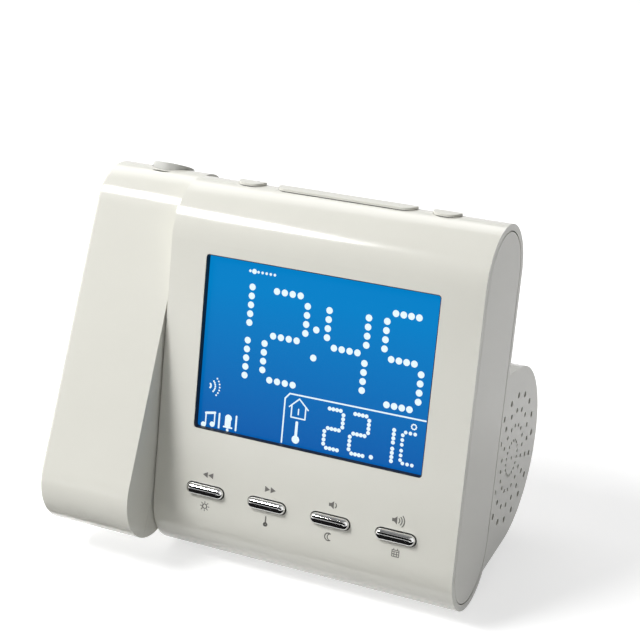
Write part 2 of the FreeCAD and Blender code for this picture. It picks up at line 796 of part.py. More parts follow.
def circuit_boards():
    """The main board with its chips, the two button boards and the power board."""
    hole = "(screw_radius + screw_clearance)"
    main = new_body("main_board")
    add(main, "front", BOARD_FRONT, BOARD_BACK, lambda sketch: box(
        sketch, "-board_half_width", "board_half_width", "-board_low", BOARD_TOP))
    cut(main, "front", BOARD_FRONT, BOARD_BACK, circles(board_posts(), hole))
    chips = new_body("board_chips")

    def packages(sketch):
        for across in ("-2 * chip_side", "0 * chip_side", "1.5 * chip_side"):
            box(sketch, across, across + " + chip_side", "-chip_side / 2", "chip_side / 2")
    add(chips, "front", BOARD_BACK, BOARD_BACK + " + chip_height", packages)
    keys = new_body("key_board")
    add(keys, "front", KEY_BOARD_FRONT, KEY_BOARD_BACK, lambda sketch: box(
        sketch, "-key_board_half_width", "key_board_half_width",
        "-key_drop - key_board_half_height", "key_board_half_height - key_drop"))
    cut(keys, "front", KEY_BOARD_FRONT, KEY_BOARD_BACK, circles(key_posts(), hole))
    top = new_body("top_key_board")
    add(top, "top", TOP_BOARD_BOTTOM, TOP_BOARD_TOP, lambda sketch: box(
        sketch, "-key_board_half_width", "key_board_half_width",
        "cabinet_radius - top_board_half_depth", "cabinet_radius + top_board_half_depth"))
    power = new_body("power_board")
    add(power, "front", "power_board_depth", "power_board_depth + board_thickness", lambda sketch: box(
        sketch, "power_board_x - power_board_width / 2", "power_board_x + power_board_width / 2",
        "power_board_low", "power_board_high"))
    return [main, chips, keys, top, power]


def squares(places, side):
    def draw(sketch):
        for across, along in places:
            box(sketch, "%s - %s / 2" % (across, side), "%s + %s / 2" % (across, side),
                "%s - %s / 2" % (along, side), "%s + %s / 2" % (along, side))
    return draw


def switches():
    """The push switches behind the front buttons and under the top ones."""
    front = new_body("front_key_switches")
    places = [(place, "(-key_drop)") for place in key_places()]
    add(front, "front", SWITCH_FRONT, KEY_BOARD_FRONT, squares(places, "switch_side"))
    add(front, "front", PLUNGER_FRONT, SWITCH_FRONT, circles(places, "plunger_radius"))
    top = new_body("top_key_switches")
    places = [(place, "cabinet_radius") for place, length in top_key_places().values()]
    add(top, "top", TOP_BOARD_TOP, TOP_SWITCH, squares(places, "switch_side"))
    add(top, "top", TOP_SWITCH, TOP_PLUNGER, circles(places, "plunger_radius"))
    return [front, top]


def screw_set(label, groups):
    """Screws set in along Y from the back, each group seated at its own place."""
    body = new_body(label)
    for places, seat in groups:
        add(body, "front", seat, seat + " + screw_head_height", circles(places, "screw_head_radius"))
        add(body, "front", "%s + screw_clearance - screw_length" % seat, seat, circles(places, "screw_radius"))
    return body


def inlet():
    """The power socket and the pin in its bore."""
    place = [("jack_x", "jack_height")]
    jack = new_body("dc_jack")
    front = "(power_board_depth + board_thickness)"
    add(jack, "front", front, REAR_INSIDE, squares(place, "jack_width"))
    add(jack, "front", REAR_INSIDE, COVER_FACE, circles(place, "jack_collar"))
    cut(jack, "front", COVER_FACE + " - jack_bore_depth", COVER_FACE, circles(place, "jack_bore"))
    pin_body = new_body("dc_jack_pin")
    add(pin_body, "front", COVER_FACE + " - jack_bore_depth", COVER_FACE + " - jack_bore / 2",
        circles(place, "jack_pin"))
    return [jack, pin_body]


def coin_cell_set():
    """The cell, the contact springs under it and the door that covers it."""
    place = [("cell_x", "cell_height")]
    door_front = "(%s - door_thickness)" % COVER_FACE
    cell_front = "(%s - travel_gap - contact_thickness - cell_thickness)" % door_front
    cell = new_body("coin_cell")
    add(cell, "front", cell_front, cell_front + " + cell_thickness", circles(place, "cell_radius"))
    ease(cell, "contact_thickness", flat_at("Y", cell_front))
    contacts = new_body("battery_contacts")
    add(contacts, "front", cell_front + " - contact_thickness", cell_front,
        squares(place, "cell_radius"))
    door = new_body("battery_door")
    add(door, "front", door_front, COVER_FACE, lambda sketch: box(
        sketch, "cell_x - door_width / 2", "cell_x + door_width / 2",
        "cell_height - door_height / 2", "cell_height + door_height / 2"))
    grip = squares([("cell_x", "(cell_height + door_height / 4)")], "switch_side")
    cut(door, "front", COVER_FACE + " - door_thickness / 2", COVER_FACE, grip)
    return [cell, contacts, door]


def front_button(label, place):
    """A chrome pill with a domed front, trapped behind the face by its flange."""
    body = new_body(label)
    middle = (place, "-key_drop")
    length = "(key_slot_length - 2 * key_gap)"
    height = "(key_slot_height - 2 * key_gap)"
    add(body, "front", "-key_proud", KEY_FLANGE_FRONT, lambda sketch: level_slot(sketch, middle, length, height))
    ease(body, "key_dome", flat_at("Y", "-key_proud"))
    add(body, "front", KEY_FLANGE_FRONT, KEY_BACK, lambda sketch: level_slot(
        sketch, middle, "(key_slot_length + 2 * key_flange_lip)", "(key_slot_height + 2 * key_flange_lip)"))
    return body


def top_button(label, place, length):
    """A button in the crown: its face follows the cabinet's round, a little proud of it."""
    body = new_body(label)
    middle = (place, "cabinet_radius")
    cap_length = "(%s - 2 * top_key_gap)" % length
    cap_depth = "(top_key_depth - 2 * top_key_gap)"
    high = "(cabinet_top + cabinet_radius + 2 * top_key_proud)"
    add(body, "top", TOP_FLANGE_TOP, high, lambda sketch: level_slot(sketch, middle, cap_length, cap_depth))

    def above_crown(sketch):
        circle(sketch, CABINET_UPPER, "cabinet_radius + top_key_proud")
        box(sketch, "-cabinet_radius", "3 * cabinet_radius",
            "cabinet_top - 2 * cabinet_radius", "cabinet_top + 2 * cabinet_radius")
    cut(body, "side", "%s - %s" % (place, length), "%s + %s" % (place, length), above_crown)
    add(body, "top", TOP_FLANGE_BOTTOM, TOP_FLANGE_TOP, lambda sketch: level_slot(
        sketch, middle, "(%s + 2 * key_flange_lip)" % length, "(top_key_depth + 2 * key_flange_lip)"))
    return body


def front_feet():
    """Rubber strips under the lower round, flat on the table and hollow on top to fit it."""
    body = new_body("front_feet")
    foot_y = "(%s - front_foot_gap - front_foot_width / 2)" % MEET

    def strips(sketch):
        for across in ("(foot_inset - cabinet_left)", "(cabinet_right - foot_inset)"):
            level_slot(sketch, (across, foot_y), "front_foot_length", "front_foot_width")
    add(body, "top", TABLE, TABLE + " + front_foot_width", strips)
    lower_round = circles([(LOWER_Y, LOWER_Z)], "cabinet_radius")
    cut(body, "side", "-cabinet_left", "cabinet_right", lower_round)
    return body


def rear_feet():
    """Taller round feet under the housing's level underside."""
    body = new_body("rear_feet")
    depth = "(%s * cos(lean) - housing_drop * sin(lean) - rear_foot_inset)" % HOUSING_DEPTH
    places = [("(foot_inset - cabinet_left)", depth), ("(cabinet_right - foot_inset)", depth)]
    add(body, "top", TABLE, UNDERSIDE, circles(places, "rear_foot_radius"))
    ease(body, "table_gap", flat_at("Z", TABLE))
    return body


def arm_outline(inset):
    def draw(sketch):
        capsule(sketch, ARM_LOWER, ARM_UPPER, "(arm_bottom_radius - %s)" % inset, "(arm_top_radius - %s)" % inset)
    return draw


def arm_screw_places():
    low = "(pivot_height - arm_below + arm_screw_low)"
    return [("projector_x", low), ("projector_x", "(%s + arm_screw_rise)" % low)]


def arm_shell(label, front):
    """One half of the arm, split along its middle, with bosses and ribs that hold the barrel."""
    body = new_body(label)
    add(body, "side", ARM_LEFT, ARM_RIGHT, arm_outline("0"))
    ease(body, "arm_wall / 2", flat_at("X", ARM_LEFT))
    cut(body, "side", ARM_LEFT + " + arm_wall", ARM_RIGHT + " - arm_wall", arm_outline("arm_wall"))
    inside = "(arm_top_radius - arm_wall / 2)"
    for height in ("pivot_height - arm_wall", "pivot_height + arm_above + arm_wall"):
        add(body, "top", height, "%s + rib_thickness" % height, lambda sketch: box(
            sketch, ARM_LEFT + " + arm_wall / 2", "projector_x + barrel_radius + arm_wall",
            "cabinet_radius - %s" % inside, "cabinet_radius + %s" % inside))
    for place, rise in zip(arm_screw_places(), ("arm_screw_low", "(arm_screw_low + arm_screw_rise)")):
        share = "(%s / (arm_below + arm_above))" % rise
        depth = "(arm_bottom_radius + (arm_top_radius - arm_bottom_radius) * %s - arm_wall / 2)" % share
        add(body, "front", "cabinet_radius - " + depth, "cabinet_radius + " + depth, circles([place], "arm_boss_radius"))
    cut(body, "top", "pivot_height - 4 * arm_wall", ARM_CROWN + " - arm_wall - lcd_gap",
        circles([("projector_x", "cabinet_radius")], "barrel_radius + optics_clearance"))
    cut(body, "top", ARM_CROWN + " - arm_top_radius / 2", ARM_CROWN + " + arm_wall",
        circles([("projector_x", "cabinet_radius")], "ring_radius + ring_gap"))
    cut(body, "side", ARM_RIGHT + " - arm_wall", ARM_RIGHT, circles([PIVOT], "hub_radius + hub_clearance"))
    middle = "cabinet_radius"
    low, high = "pivot_height - 2 * arm_below", "pivot_height + 2 * arm_above"
    if front:
        cut(body, "side", ARM_LEFT, ARM_RIGHT, lambda sketch: box(
            sketch, middle + " - shell_gap / 2", "3 * cabinet_radius", low, high))
    else:
        cut(body, "side", ARM_LEFT, ARM_RIGHT, lambda sketch: box(
            sketch, "-cabinet_radius", middle + " + shell_gap / 2", low, high))
    pilot = circles(arm_screw_places(), "screw_radius + screw_clearance")
    seat = arm_screw_seat()
    if front:
        cut(body, "front", "%s - screw_length - arm_wall" % seat, middle, pilot)
    else:
        cut(body, "front", middle, seat, pilot)
        well = circles(arm_screw_places(), "screw_head_radius + 2 * screw_clearance")
        cut(body, "front", seat, "3 * cabinet_radius", well)
    return body


def arm_screw_seat():
    return "(cabinet_radius + screw_length / 2)"


def pivot_set():
    """The hollow hub that joins the arm to the cabinet, its spring washer and the retainer."""
    hub = new_body("pivot_hub")
    flange_right = "(%s - arm_wall - pivot_play)" % ARM_RIGHT
    hub_end = "(%s + washer_thickness + retainer_thickness + 2 * pivot_play)" % LEFT_INSIDE
    add(hub, "side", "%s - hub_flange" % flange_right, flange_right, circles([PIVOT], "hub_flange_radius"))
    add(hub, "side", flange_right, hub_end, circles([PIVOT], "hub_radius"))
    cut(hub, "side", "%s - hub_flange" % flange_right, hub_end, circles([PIVOT], "hub_bore"))
    washer = new_body("pivot_washer")

    def ring(radius):
        return lambda sketch: (circle(sketch, PIVOT, radius),
                               circle(sketch, PIVOT, "hub_radius + hub_clearance"))
    washer_left = "(%s + pivot_play)" % LEFT_INSIDE
    washer_right = "(%s + washer_thickness)" % washer_left
    add(washer, "side", washer_left, washer_right, ring("retainer_radius"))
    retainer = new_body("pivot_retainer")
    add(retainer, "side", washer_right, "%s + retainer_thickness" % washer_right, ring("retainer_radius"))
    return [hub, washer, retainer]


def upright_cylinder(label, low, high, radius, bore=None):
    body = new_body(label)
    place = [("projector_x", "cabinet_radius")]
    add(body, "top", low, high, circles(place, radius))
    if bore is not None:
        cut(body, "top", low, high, circles(place, bore))
    return body


def projector():
    """Barrel, lamp, condenser, time display, focusing cell with its lens, and the focus ring."""
    place = [("projector_x", "cabinet_radius")]
    bore = "(barrel_radius - barrel_wall)"
    barrel = upright_cylinder("projector_barrel", BARREL_BOTTOM, BARREL_TOP, "barrel_radius", bore)
    led_board = upright_cylinder("led_board", BARREL_BOTTOM + " - led_board_thickness", BARREL_BOTTOM,
                                 "barrel_radius")
    led = upright_cylinder("projector_led", BARREL_BOTTOM, BARREL_BOTTOM + " + led_height", "led_radius")
    ease(led, "led_radius / 2", flat_at("Z", BARREL_BOTTOM + " + led_height"))
    condenser_low = "(%s + led_height + lcd_gap)" % BARREL_BOTTOM
    condenser = upright_cylinder("condenser_lens", condenser_low, condenser_low + " + condenser_thickness",
                                 bore + " - optics_clearance")
    slide_low = "(%s + condenser_thickness + lcd_gap)" % condenser_low
    slide = new_body("projection_display")
    add(slide, "top", slide_low, slide_low + " + slide_thickness", squares(place, "slide_side"))
    cell = new_body("lens_cell")
    add(cell, "top", CELL_SHOULDER, CELL_TOP, circles(place, "ring_bore - optics_clearance"))
    add(cell, "top", CELL_BOTTOM, CELL_SHOULDER, circles(place, bore + " - optics_clearance"))
    cut(cell, "top", CELL_BOTTOM, CELL_TOP, circles(place, "lens_radius - 2 * bezel_wall"))
    cut(cell, "top", CELL_TOP + " - lens_edge - lens_bulge", CELL_TOP, circles(place, "lens_radius + optics_clearance"))
    lens = new_body("projection_lens")
    lens_low = "(%s - lens_edge - lens_bulge)" % CELL_TOP

    def lens_profile(sketch):
        sag = "((lens_radius * lens_radius + lens_bulge * lens_bulge) / (2 * lens_bulge))"
        rim = lens_low + " + lens_edge"
        outline(sketch, [
            ("0", lens_low, None),
            ("lens_radius", lens_low, None),
            ("lens_radius", rim, (sag, ("0", "%s + lens_bulge - %s" % (rim, sag)), 1)),
            ("0", rim + " + lens_bulge", None),
        ])
    turn(lens, "projector_x", "cabinet_radius", lens_profile)
    ring = new_body("focus_ring")
    add(ring, "top", RING_FLANGE_TOP, RING_TOP, circles(place, "ring_radius"))
    ease(ring, "ring_gap", flat_at("Z", RING_TOP))
    add(ring, "top", RING_BOTTOM, RING_FLANGE_TOP, circles(place, "ring_flange_radius"))
    cut(ring, "top", RING_BOTTOM, RING_TOP, circles(place, "ring_bore"))
    return [barrel, led_board, led, condenser, slide, cell, lens, ring]


def standing_frame():
    """Where the window's middle stands: the table is at zero and the outline is centred."""
    lean = math.radians(num("lean"))
    swing = math.radians(num("lean + arm_angle"))
    radius = num("cabinet_radius")
    height = radius + radius * math.sin(lean) + num("cabinet_bottom") * math.cos(lean) + num("table_gap")
    pivot_y = radius * math.cos(lean) + num("pivot_height") * math.sin(lean)
    front = pivot_y - num("arm_below") * math.sin(swing) - num("arm_bottom_radius")
    rear_centre = num(HOUSING_DEPTH) * math.cos(lean) - num("housing_drop") * math.sin(lean)
    back = rear_centre + num("housing_round")
    return Vector(num("(arm_left - cabinet_right) / 2"), -(front + back) / 2, height)


def build():
    leaned = [front_cabinet(), rear_cover(), right_end_cap(), left_end_plate(), speaker_cover()]
    leaned += speaker()
    leaned += display()
    leaned += circuit_boards()
    leaned += switches()
    leaned += inlet()
    leaned += coin_cell_set()
    cover_seat = "(%s - screw_head_height)" % COVER_FACE
    leaned.append(screw_set("cover_screws", [(cover_screw_places(), cover_seat)]))
    leaned.append(screw_set("board_screws", [(board_posts(), BOARD_BACK), (key_posts(), KEY_BOARD_BACK)]))
    labels = ("rewind_button", "forward_button", "volume_down_button", "volume_up_button")
    for label, place in zip(labels, key_places()):
        leaned.append(front_button(label, place))
    for label, (place, length) in top_key_places().items():
        leaned.append(top_button(label, place, length))
    arm = [arm_shell("arm_front_shell", True), arm_shell("arm_rear_shell", False)]
    arm.append(screw_set("arm_screws", [(arm_screw_places(), arm_screw_seat())]))
    arm += pivot_set()
    arm += projector()
    upright = [front_feet(), rear_feet()]

    stand = standing_frame()
    lean = Placement(stand, Rotation(Vector(1, 0, 0), -num("lean")))
    pivot = Vector(0, num(PIVOT[0]), num(PIVOT[1]))
    swing = Placement(Vector(), Rotation(Vector(1, 0, 0), -num("arm_angle")), pivot)
    for body in leaned:
        body.Placement = lean
    for body in arm:
        body.Placement = lean.multiply(swing)
    for body in upright:
        body.Placement = Placement(stand, Rotation())
    doc.recompute()
    return leaned + arm + upright


def write(bodies):
    for item in doc.Objects:
        if "Invalid" in item.State or "Error" in item.State:
            raise RuntimeError("%s: %s" % (item.Label, item.State))
    for body in bodies:
        if body.Shape.isNull() or not body.Shape.isValid() or not body.Shape.Solids:
            raise RuntimeError(body.Label + ": no valid solid")
    os.makedirs("parts", exist_ok=True)
    for body in bodies:
        body.Shape.exportStep("parts/%s.step" % body.Label)
        print("%-22s %2d solids %10.1f mm3" % (body.Label, len(body.Shape.Solids), body.Shape.Volume))


write(build())
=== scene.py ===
# %% [markdown]
# # A projection alarm clock, dressed in Blender
# The shapes of this clock come ready made: every moulded piece, screw and board is in the frame that
# the first cell loads. What is left for Blender is what the eye notices first: the glowing dots of the
# display, the printed signs over the buttons, and the way that glossy plastic, chrome, steel and rubber
# take the light. The script is written as a lesson, one small step at a time.

# %% Load the frame
import math

import bmesh
import bpy
from mathutils import Matrix, Vector


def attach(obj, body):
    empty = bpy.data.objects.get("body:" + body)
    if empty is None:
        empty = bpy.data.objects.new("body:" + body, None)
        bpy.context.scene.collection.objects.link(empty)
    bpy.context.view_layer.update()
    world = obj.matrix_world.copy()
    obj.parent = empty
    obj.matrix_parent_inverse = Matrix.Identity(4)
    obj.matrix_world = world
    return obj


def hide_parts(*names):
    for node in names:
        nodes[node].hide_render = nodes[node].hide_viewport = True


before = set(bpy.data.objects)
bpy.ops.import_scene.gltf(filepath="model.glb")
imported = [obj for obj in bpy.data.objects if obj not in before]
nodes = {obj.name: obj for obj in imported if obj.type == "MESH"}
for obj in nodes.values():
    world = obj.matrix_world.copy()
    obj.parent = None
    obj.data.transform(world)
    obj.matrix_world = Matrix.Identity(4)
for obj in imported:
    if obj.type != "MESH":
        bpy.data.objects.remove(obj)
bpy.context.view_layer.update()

# %% [markdown]
# ## The lean of the cabinet
# The cabinet leans back on the table, so its front face is neither upright nor level. Signs and dots
# are easier to draw on an upright face, with X to the right, Z up the face and Y into the clock. One
# matrix then lays the finished mesh onto the leaning face, and its inverse measures a solid as the
# upright face sees it.

# %% Matrix for the leaning face
MM = 0.001
LEAN = math.radians(12.56)
STAND = Vector((15.7, -20.63157, 73.32132)) * MM

face_place = Matrix.Translation(STAND) @ Matrix.Rotation(-LEAN, 4, "X")
upright = face_place.inverted()
glass_front = min((upright @ vertex.co).y for vertex in nodes["lcd_glass"].data.vertices)
print("the glass starts", round(glass_front / MM, 3), "mm behind the face")

# %% [markdown]
# ## The camera
# The photograph was taken from the right and from above, with a long lens, so that the uprights hardly
# lean together. A camera needs three things to repeat that: where it stands, which way it looks, and
# its lens. It looks along one direction with no roll, so a track quaternion turns it.

# %% Camera
camera_data = bpy.data.cameras.new("photo_camera")
camera_data.sensor_width = 36.0
camera_data.lens = 87.78
camera = bpy.data.objects.new("photo_camera", camera_data)
bpy.context.collection.objects.link(camera)
CAMERA_TURN = math.radians(24.70)
CAMERA_RISE = math.radians(24.50)
towards_camera = Vector((
    math.cos(CAMERA_RISE) * math.sin(CAMERA_TURN),
    -math.cos(CAMERA_RISE) * math.cos(CAMERA_TURN),
    math.sin(CAMERA_RISE),
))
camera.location = STAND + Vector((174.31, -373.52, 202.10)) * MM
camera.rotation_euler = (-towards_camera).to_track_quat("-Z", "Y").to_euler()
bpy.context.scene.camera = camera
print("camera stands at", [round(value, 4) for value in camera.location])

# %% [markdown]
# ## Small tools for materials
# A material is a tree of nodes. A few short helpers keep each finish readable. One starts a material
# and hands back its shader, and one joins two sockets. The others add a noise, turn it into two tones
# or into a range of numbers, and raise a grain with it. Every pattern reads Object coordinates. All
# solids share one origin, so a scale of 1000 means about one speck a millimetre.

# %% Material helpers
def start_finish(name):
    """A new material with its Principled shader, and the Object coordinates of what wears it."""
    material = bpy.data.materials.new(name)
    material.use_nodes = True
    tree = material.node_tree
    shader = tree.nodes["Principled BSDF"]
    place = tree.nodes.new("ShaderNodeTexCoord")
    return material, tree, shader, place.outputs["Object"]


def join(tree, source, target):
    """Joins an output socket to an input socket."""
    tree.links.new(source, target)


def speckle(tree, place, scale, detail=2.0, stretch=(1.0, 1.0, 1.0)):
    """Noise over the piece, which a mapping may stretch into streaks."""
    mapping = tree.nodes.new("ShaderNodeMapping")
    mapping.inputs["Scale"].default_value = stretch
    join(tree, place, mapping.inputs["Vector"])
    noise = tree.nodes.new("ShaderNodeTexNoise")
    noise.inputs["Scale"].default_value = scale
    noise.inputs["Detail"].default_value = detail
    join(tree, mapping.outputs["Vector"], noise.inputs["Vector"])
    return noise.outputs["Fac"]


def two_tones(tree, amount, first, second, start=0.3, end=0.7):
    """Turns an amount from 0 to 1 into a colour between two tones."""
    ramp = tree.nodes.new("ShaderNodeValToRGB")
    ramp.color_ramp.elements[0].position = start
    ramp.color_ramp.elements[0].color = (*first, 1.0)
    ramp.color_ramp.elements[1].position = end
    ramp.color_ramp.elements[1].color = (*second, 1.0)
    join(tree, amount, ramp.inputs["Fac"])
    return ramp.outputs["Color"]


def spread(tree, amount, low, high):
    """Spreads an amount from 0 to 1 over another range, such as a roughness."""
    area = tree.nodes.new("ShaderNodeMapRange")
    area.inputs["To Min"].default_value = low
    area.inputs["To Max"].default_value = high
    join(tree, amount, area.inputs["Value"])
    return area.outputs["Result"]


def raise_grain(tree, shader, amount, strength, distance):
    """Raises the surface by an amount, at most a distance in metres."""
    bump = tree.nodes.new("ShaderNodeBump")
    bump.inputs["Strength"].default_value = strength
    bump.inputs["Distance"].default_value = distance
    join(tree, amount, bump.inputs["Height"])
    join(tree, bump.outputs["Normal"], shader.inputs["Normal"])


def from_srgb(red, green, blue):
    """A colour read from a picture, 0 to 255, as the linear light that a shader wants."""
    values = []
    for value in (red, green, blue):
        part = value / 255.0
        values.append(part / 12.92 if part <= 0.04045 else ((part + 0.055) / 1.055) ** 2.4)
    return tuple(values)


print("material helpers ready")

# %% [markdown]
# ## Glossy off-white plastic
# Cabinet, arm and end cap are moulded in one warm off-white plastic with a polished skin. Polished
# mouldings are never quite even: the colour drifts a little, the gloss has faint haze, and the skin has
# an orange peel that only shows in a highlight. Three noises at three scales give those three things.
# The keys on the crown get the same plastic with a little less gloss, because fingers touch them.

# %% Cabinet plastic
DRIFT_SCALE = 22.0
HAZE_SCALE = 160.0
PEEL_SCALE = 900.0
PEEL_HEIGHT = 0.00003


def make_plastic(name, light, shade, gloss_low, gloss_high, peel):
    """Moulded plastic: a slow drift of colour, hazy gloss and a fine orange peel."""
    material, tree, shader, place = start_finish(name)
    drift = speckle(tree, place, DRIFT_SCALE, 3.0)
    join(tree, two_tones(tree, drift, shade, light), shader.inputs["Base Color"])
    haze = speckle(tree, place, HAZE_SCALE, 4.0)
    join(tree, spread(tree, haze, gloss_low, gloss_high), shader.inputs["Roughness"])
    skin = speckle(tree, place, PEEL_SCALE, 2.0)
    raise_grain(tree, shader, skin, peel, PEEL_HEIGHT)
    shader.inputs["IOR"].default_value = 1.5
    return material


CABINET_LIGHT = from_srgb(226, 225, 216)
CABINET_SHADE = from_srgb(222, 221, 212)
cabinet_plastic = make_plastic("cabinet_plastic", CABINET_LIGHT, CABINET_SHADE, 0.11, 0.17, 0.10)
key_plastic = make_plastic("key_plastic", CABINET_LIGHT, CABINET_SHADE, 0.24, 0.34, 0.18)
print("made", cabinet_plastic.name, "and", key_plastic.name)

# %% [markdown]
# ## Chrome on the four front buttons
# The front buttons are plastic pills with a bright chrome plating. Chrome has almost no colour of its
# own and shows the studio instead, so its shader is fully metallic and smooth. A trace of haze from
# wiping stops the reflections from looking drawn with a ruler.

# %% Chrome
chrome, tree, shader, place = start_finish("button_chrome")
shader.inputs["Metallic"].default_value = 1.0
wiped = speckle(tree, place, 700.0, 4.0, (1.0, 1.0, 3.0))
join(tree, two_tones(tree, wiped, (0.80, 0.80, 0.80), (0.88, 0.88, 0.87)), shader.inputs["Base Color"])
join(tree, spread(tree, wiped, 0.03, 0.09), shader.inputs["Roughness"])
print("made", chrome.name)

# %% [markdown]
# ## The blue display
# The display is a dark-field liquid crystal panel: blue light shines through its whole face, and the
# dots of the digits let white light pass. The blue is brighter at the top and deeper towards the
# bottom. The panel shines by itself, so the colour goes to emission, with a base that is nearly black.
# A gradient of the height drives it, and a faint noise keeps it alive.

# %% Display glass
display_blue, tree, shader, place = start_finish("display_blue")
DISPLAY_BRIGHT = from_srgb(0, 127, 197)
DISPLAY_DEEP = from_srgb(0, 90, 168)
DISPLAY_LOW = 0.045
DISPLAY_HIGH = 0.102
slope = tree.nodes.new("ShaderNodeSeparateXYZ")
join(tree, place, slope.inputs["Vector"])
height = tree.nodes.new("ShaderNodeMapRange")
height.inputs["From Min"].default_value = DISPLAY_LOW
height.inputs["From Max"].default_value = DISPLAY_HIGH
join(tree, slope.outputs["Z"], height.inputs["Value"])
share = tree.nodes.new("ShaderNodeMath")
share.operation = "ADD"
join(tree, height.outputs["Result"], share.inputs[0])
grain = speckle(tree, place, 1400.0, 2.0)
join(tree, spread(tree, grain, -0.03, 0.03), share.inputs[1])
glow = two_tones(tree, share.outputs["Value"], DISPLAY_DEEP, DISPLAY_BRIGHT, 0.05, 0.8)
join(tree, glow, shader.inputs["Emission Color"])
shader.inputs["Emission Strength"].default_value = 1.0
shader.inputs["Base Color"].default_value = (0.004, 0.012, 0.03, 1.0)
shader.inputs["Roughness"].default_value = 0.12
shader.inputs["Specular IOR Level"].default_value = 0.06
print("made", display_blue.name)

# %% [markdown]
# ## The light of the dots
# A lit dot is pale white with a breath of blue, because its light comes through the panel. Emission
# just below full white keeps the dot from clipping, and a fine noise breaks the flat tone.

# %% Lit dots
dot_light, tree, shader, place = start_finish("dot_light")
flicker = speckle(tree, place, 1800.0, 2.0)
pale = two_tones(tree, flicker, from_srgb(222, 243, 252), from_srgb(240, 252, 255))
join(tree, pale, shader.inputs["Emission Color"])
shader.inputs["Emission Strength"].default_value = 0.98
shader.inputs["Base Color"].default_value = (0.03, 0.04, 0.05, 1.0)
shader.inputs["Roughness"].default_value = 0.35
print("made", dot_light.name)

# %% [markdown]
# ## Printing ink
# The small signs at the buttons are pad-printed in warm grey. Ink lies thin and matt on the gloss, and
# its density wavers slightly.

# %% Grey ink
sign_ink, tree, shader, place = start_finish("sign_ink")
density = speckle(tree, place, 2600.0, 3.0)
INK_DENSE = from_srgb(104, 102, 98)
INK_THIN = from_srgb(124, 122, 117)
join(tree, two_tones(tree, density, INK_DENSE, INK_THIN), shader.inputs["Base Color"])
join(tree, spread(tree, density, 0.5, 0.7), shader.inputs["Roughness"])
print("made", sign_ink.name)

# %% [markdown]
# ## Plain plastics inside and behind
# The lining of the window, the inlet, the switches and the chips are black plastics, the display's
# holder and the pivot's hub are white, and the focus ring is grey, all with a spark-eroded grain. One
# maker serves them all: a colour drift, a rough skin and a grain whose height changes with the piece.

# %% Grained plastics
def make_grained(name, light, shade, rough_low, rough_high, grain_scale, grain_height):
    """A matt moulded plastic with an eroded grain."""
    material, tree, shader, place = start_finish(name)
    drift = speckle(tree, place, 300.0, 3.0)
    join(tree, two_tones(tree, drift, shade, light), shader.inputs["Base Color"])
    skin = speckle(tree, place, grain_scale, 3.0)
    join(tree, spread(tree, skin, rough_low, rough_high), shader.inputs["Roughness"])
    raise_grain(tree, shader, skin, 0.35, grain_height)
    return material


window_black = make_grained(
    "window_black", (0.012, 0.013, 0.015), (0.006, 0.007, 0.008), 0.4, 0.6, 2600.0, 0.00004,
)
holder_white = make_grained(
    "holder_white", (0.76, 0.77, 0.76), (0.68, 0.69, 0.68), 0.45, 0.65, 2200.0, 0.00004,
)
jack_black = make_grained(
    "jack_black", (0.022, 0.022, 0.023), (0.012, 0.012, 0.013), 0.35, 0.55, 2400.0, 0.00004,
)
switch_black = make_grained(
    "switch_black", (0.03, 0.03, 0.032), (0.015, 0.015, 0.016), 0.4, 0.6, 3000.0, 0.00003,
)
chip_black = make_grained(
    "chip_black", (0.028, 0.028, 0.03), (0.016, 0.016, 0.017), 0.5, 0.7, 3600.0, 0.00003,
)
focus_grey = make_grained(
    "focus_grey", from_srgb(206, 206, 201), from_srgb(196, 196, 191), 0.3, 0.42, 2400.0, 0.00003,
)
for finish in (window_black, holder_white, jack_black, switch_black, chip_black, focus_grey):
    print("made", finish.name)

# %% [markdown]
# ## Rubber feet
# The feet are soft rubber: nearly black-grey, dull, and full of fine pores. A cell pattern that is low
# in the middle of each cell makes the pores, and a broader noise makes the dusty patches.

# %% Foot rubber, also the painted shade in the button gaps
# This dark rubber also serves as painted shade: the rings in the button gaps further down wear it.
rubber_and_gap_shade, tree, shader, place = start_finish("rubber_and_gap_shade")
dust = speckle(tree, place, 420.0, 4.0)
join(tree, two_tones(tree, dust, (0.035, 0.035, 0.036), (0.075, 0.075, 0.074)), shader.inputs["Base Color"])
pores = tree.nodes.new("ShaderNodeTexVoronoi")
pores.inputs["Scale"].default_value = 1900.0
join(tree, place, pores.inputs["Vector"])
raise_grain(tree, shader, pores.outputs["Distance"], 0.4, 0.00006)
shader.inputs["Roughness"].default_value = 0.82
print("made", rubber_and_gap_shade.name)

# %% [markdown]
# ## Metals
# Screws, springs, the coin cell, the speaker's frame and the pivot's washer are zinc-plated or turned
# steel, the jack's pin is brass, and the speaker's magnet is grey ferrite. Turned and drawn metal
# carries streaks, which a noise stretched along one axis gives. Ferrite isn't polished, so it is only
# half metallic and rough.

# %% Steel, brass and ferrite
def make_metal(name, light, shade, rough_low, rough_high, stretch, metallic=1.0):
    """A metal with streaks along the axis that is stretched least."""
    material, tree, shader, place = start_finish(name)
    streaks = speckle(tree, place, 420.0, 4.0, stretch)
    join(tree, two_tones(tree, streaks, shade, light), shader.inputs["Base Color"])
    join(tree, spread(tree, streaks, rough_low, rough_high), shader.inputs["Roughness"])
    raise_grain(tree, shader, streaks, 0.15, 0.00002)
    shader.inputs["Metallic"].default_value = metallic
    return material


zinc_steel = make_metal("zinc_steel", (0.62, 0.63, 0.64), (0.48, 0.49, 0.5), 0.22, 0.4, (1.0, 6.0, 6.0))
pin_brass = make_metal("pin_brass", (0.80, 0.62, 0.30), (0.66, 0.49, 0.22), 0.2, 0.36, (6.0, 1.0, 6.0))
ferrite = make_metal("ferrite", (0.10, 0.10, 0.105), (0.055, 0.055, 0.06), 0.5, 0.7, (1.0, 1.0, 1.0), 0.4)
print("made", zinc_steel.name, pin_brass.name, ferrite.name)

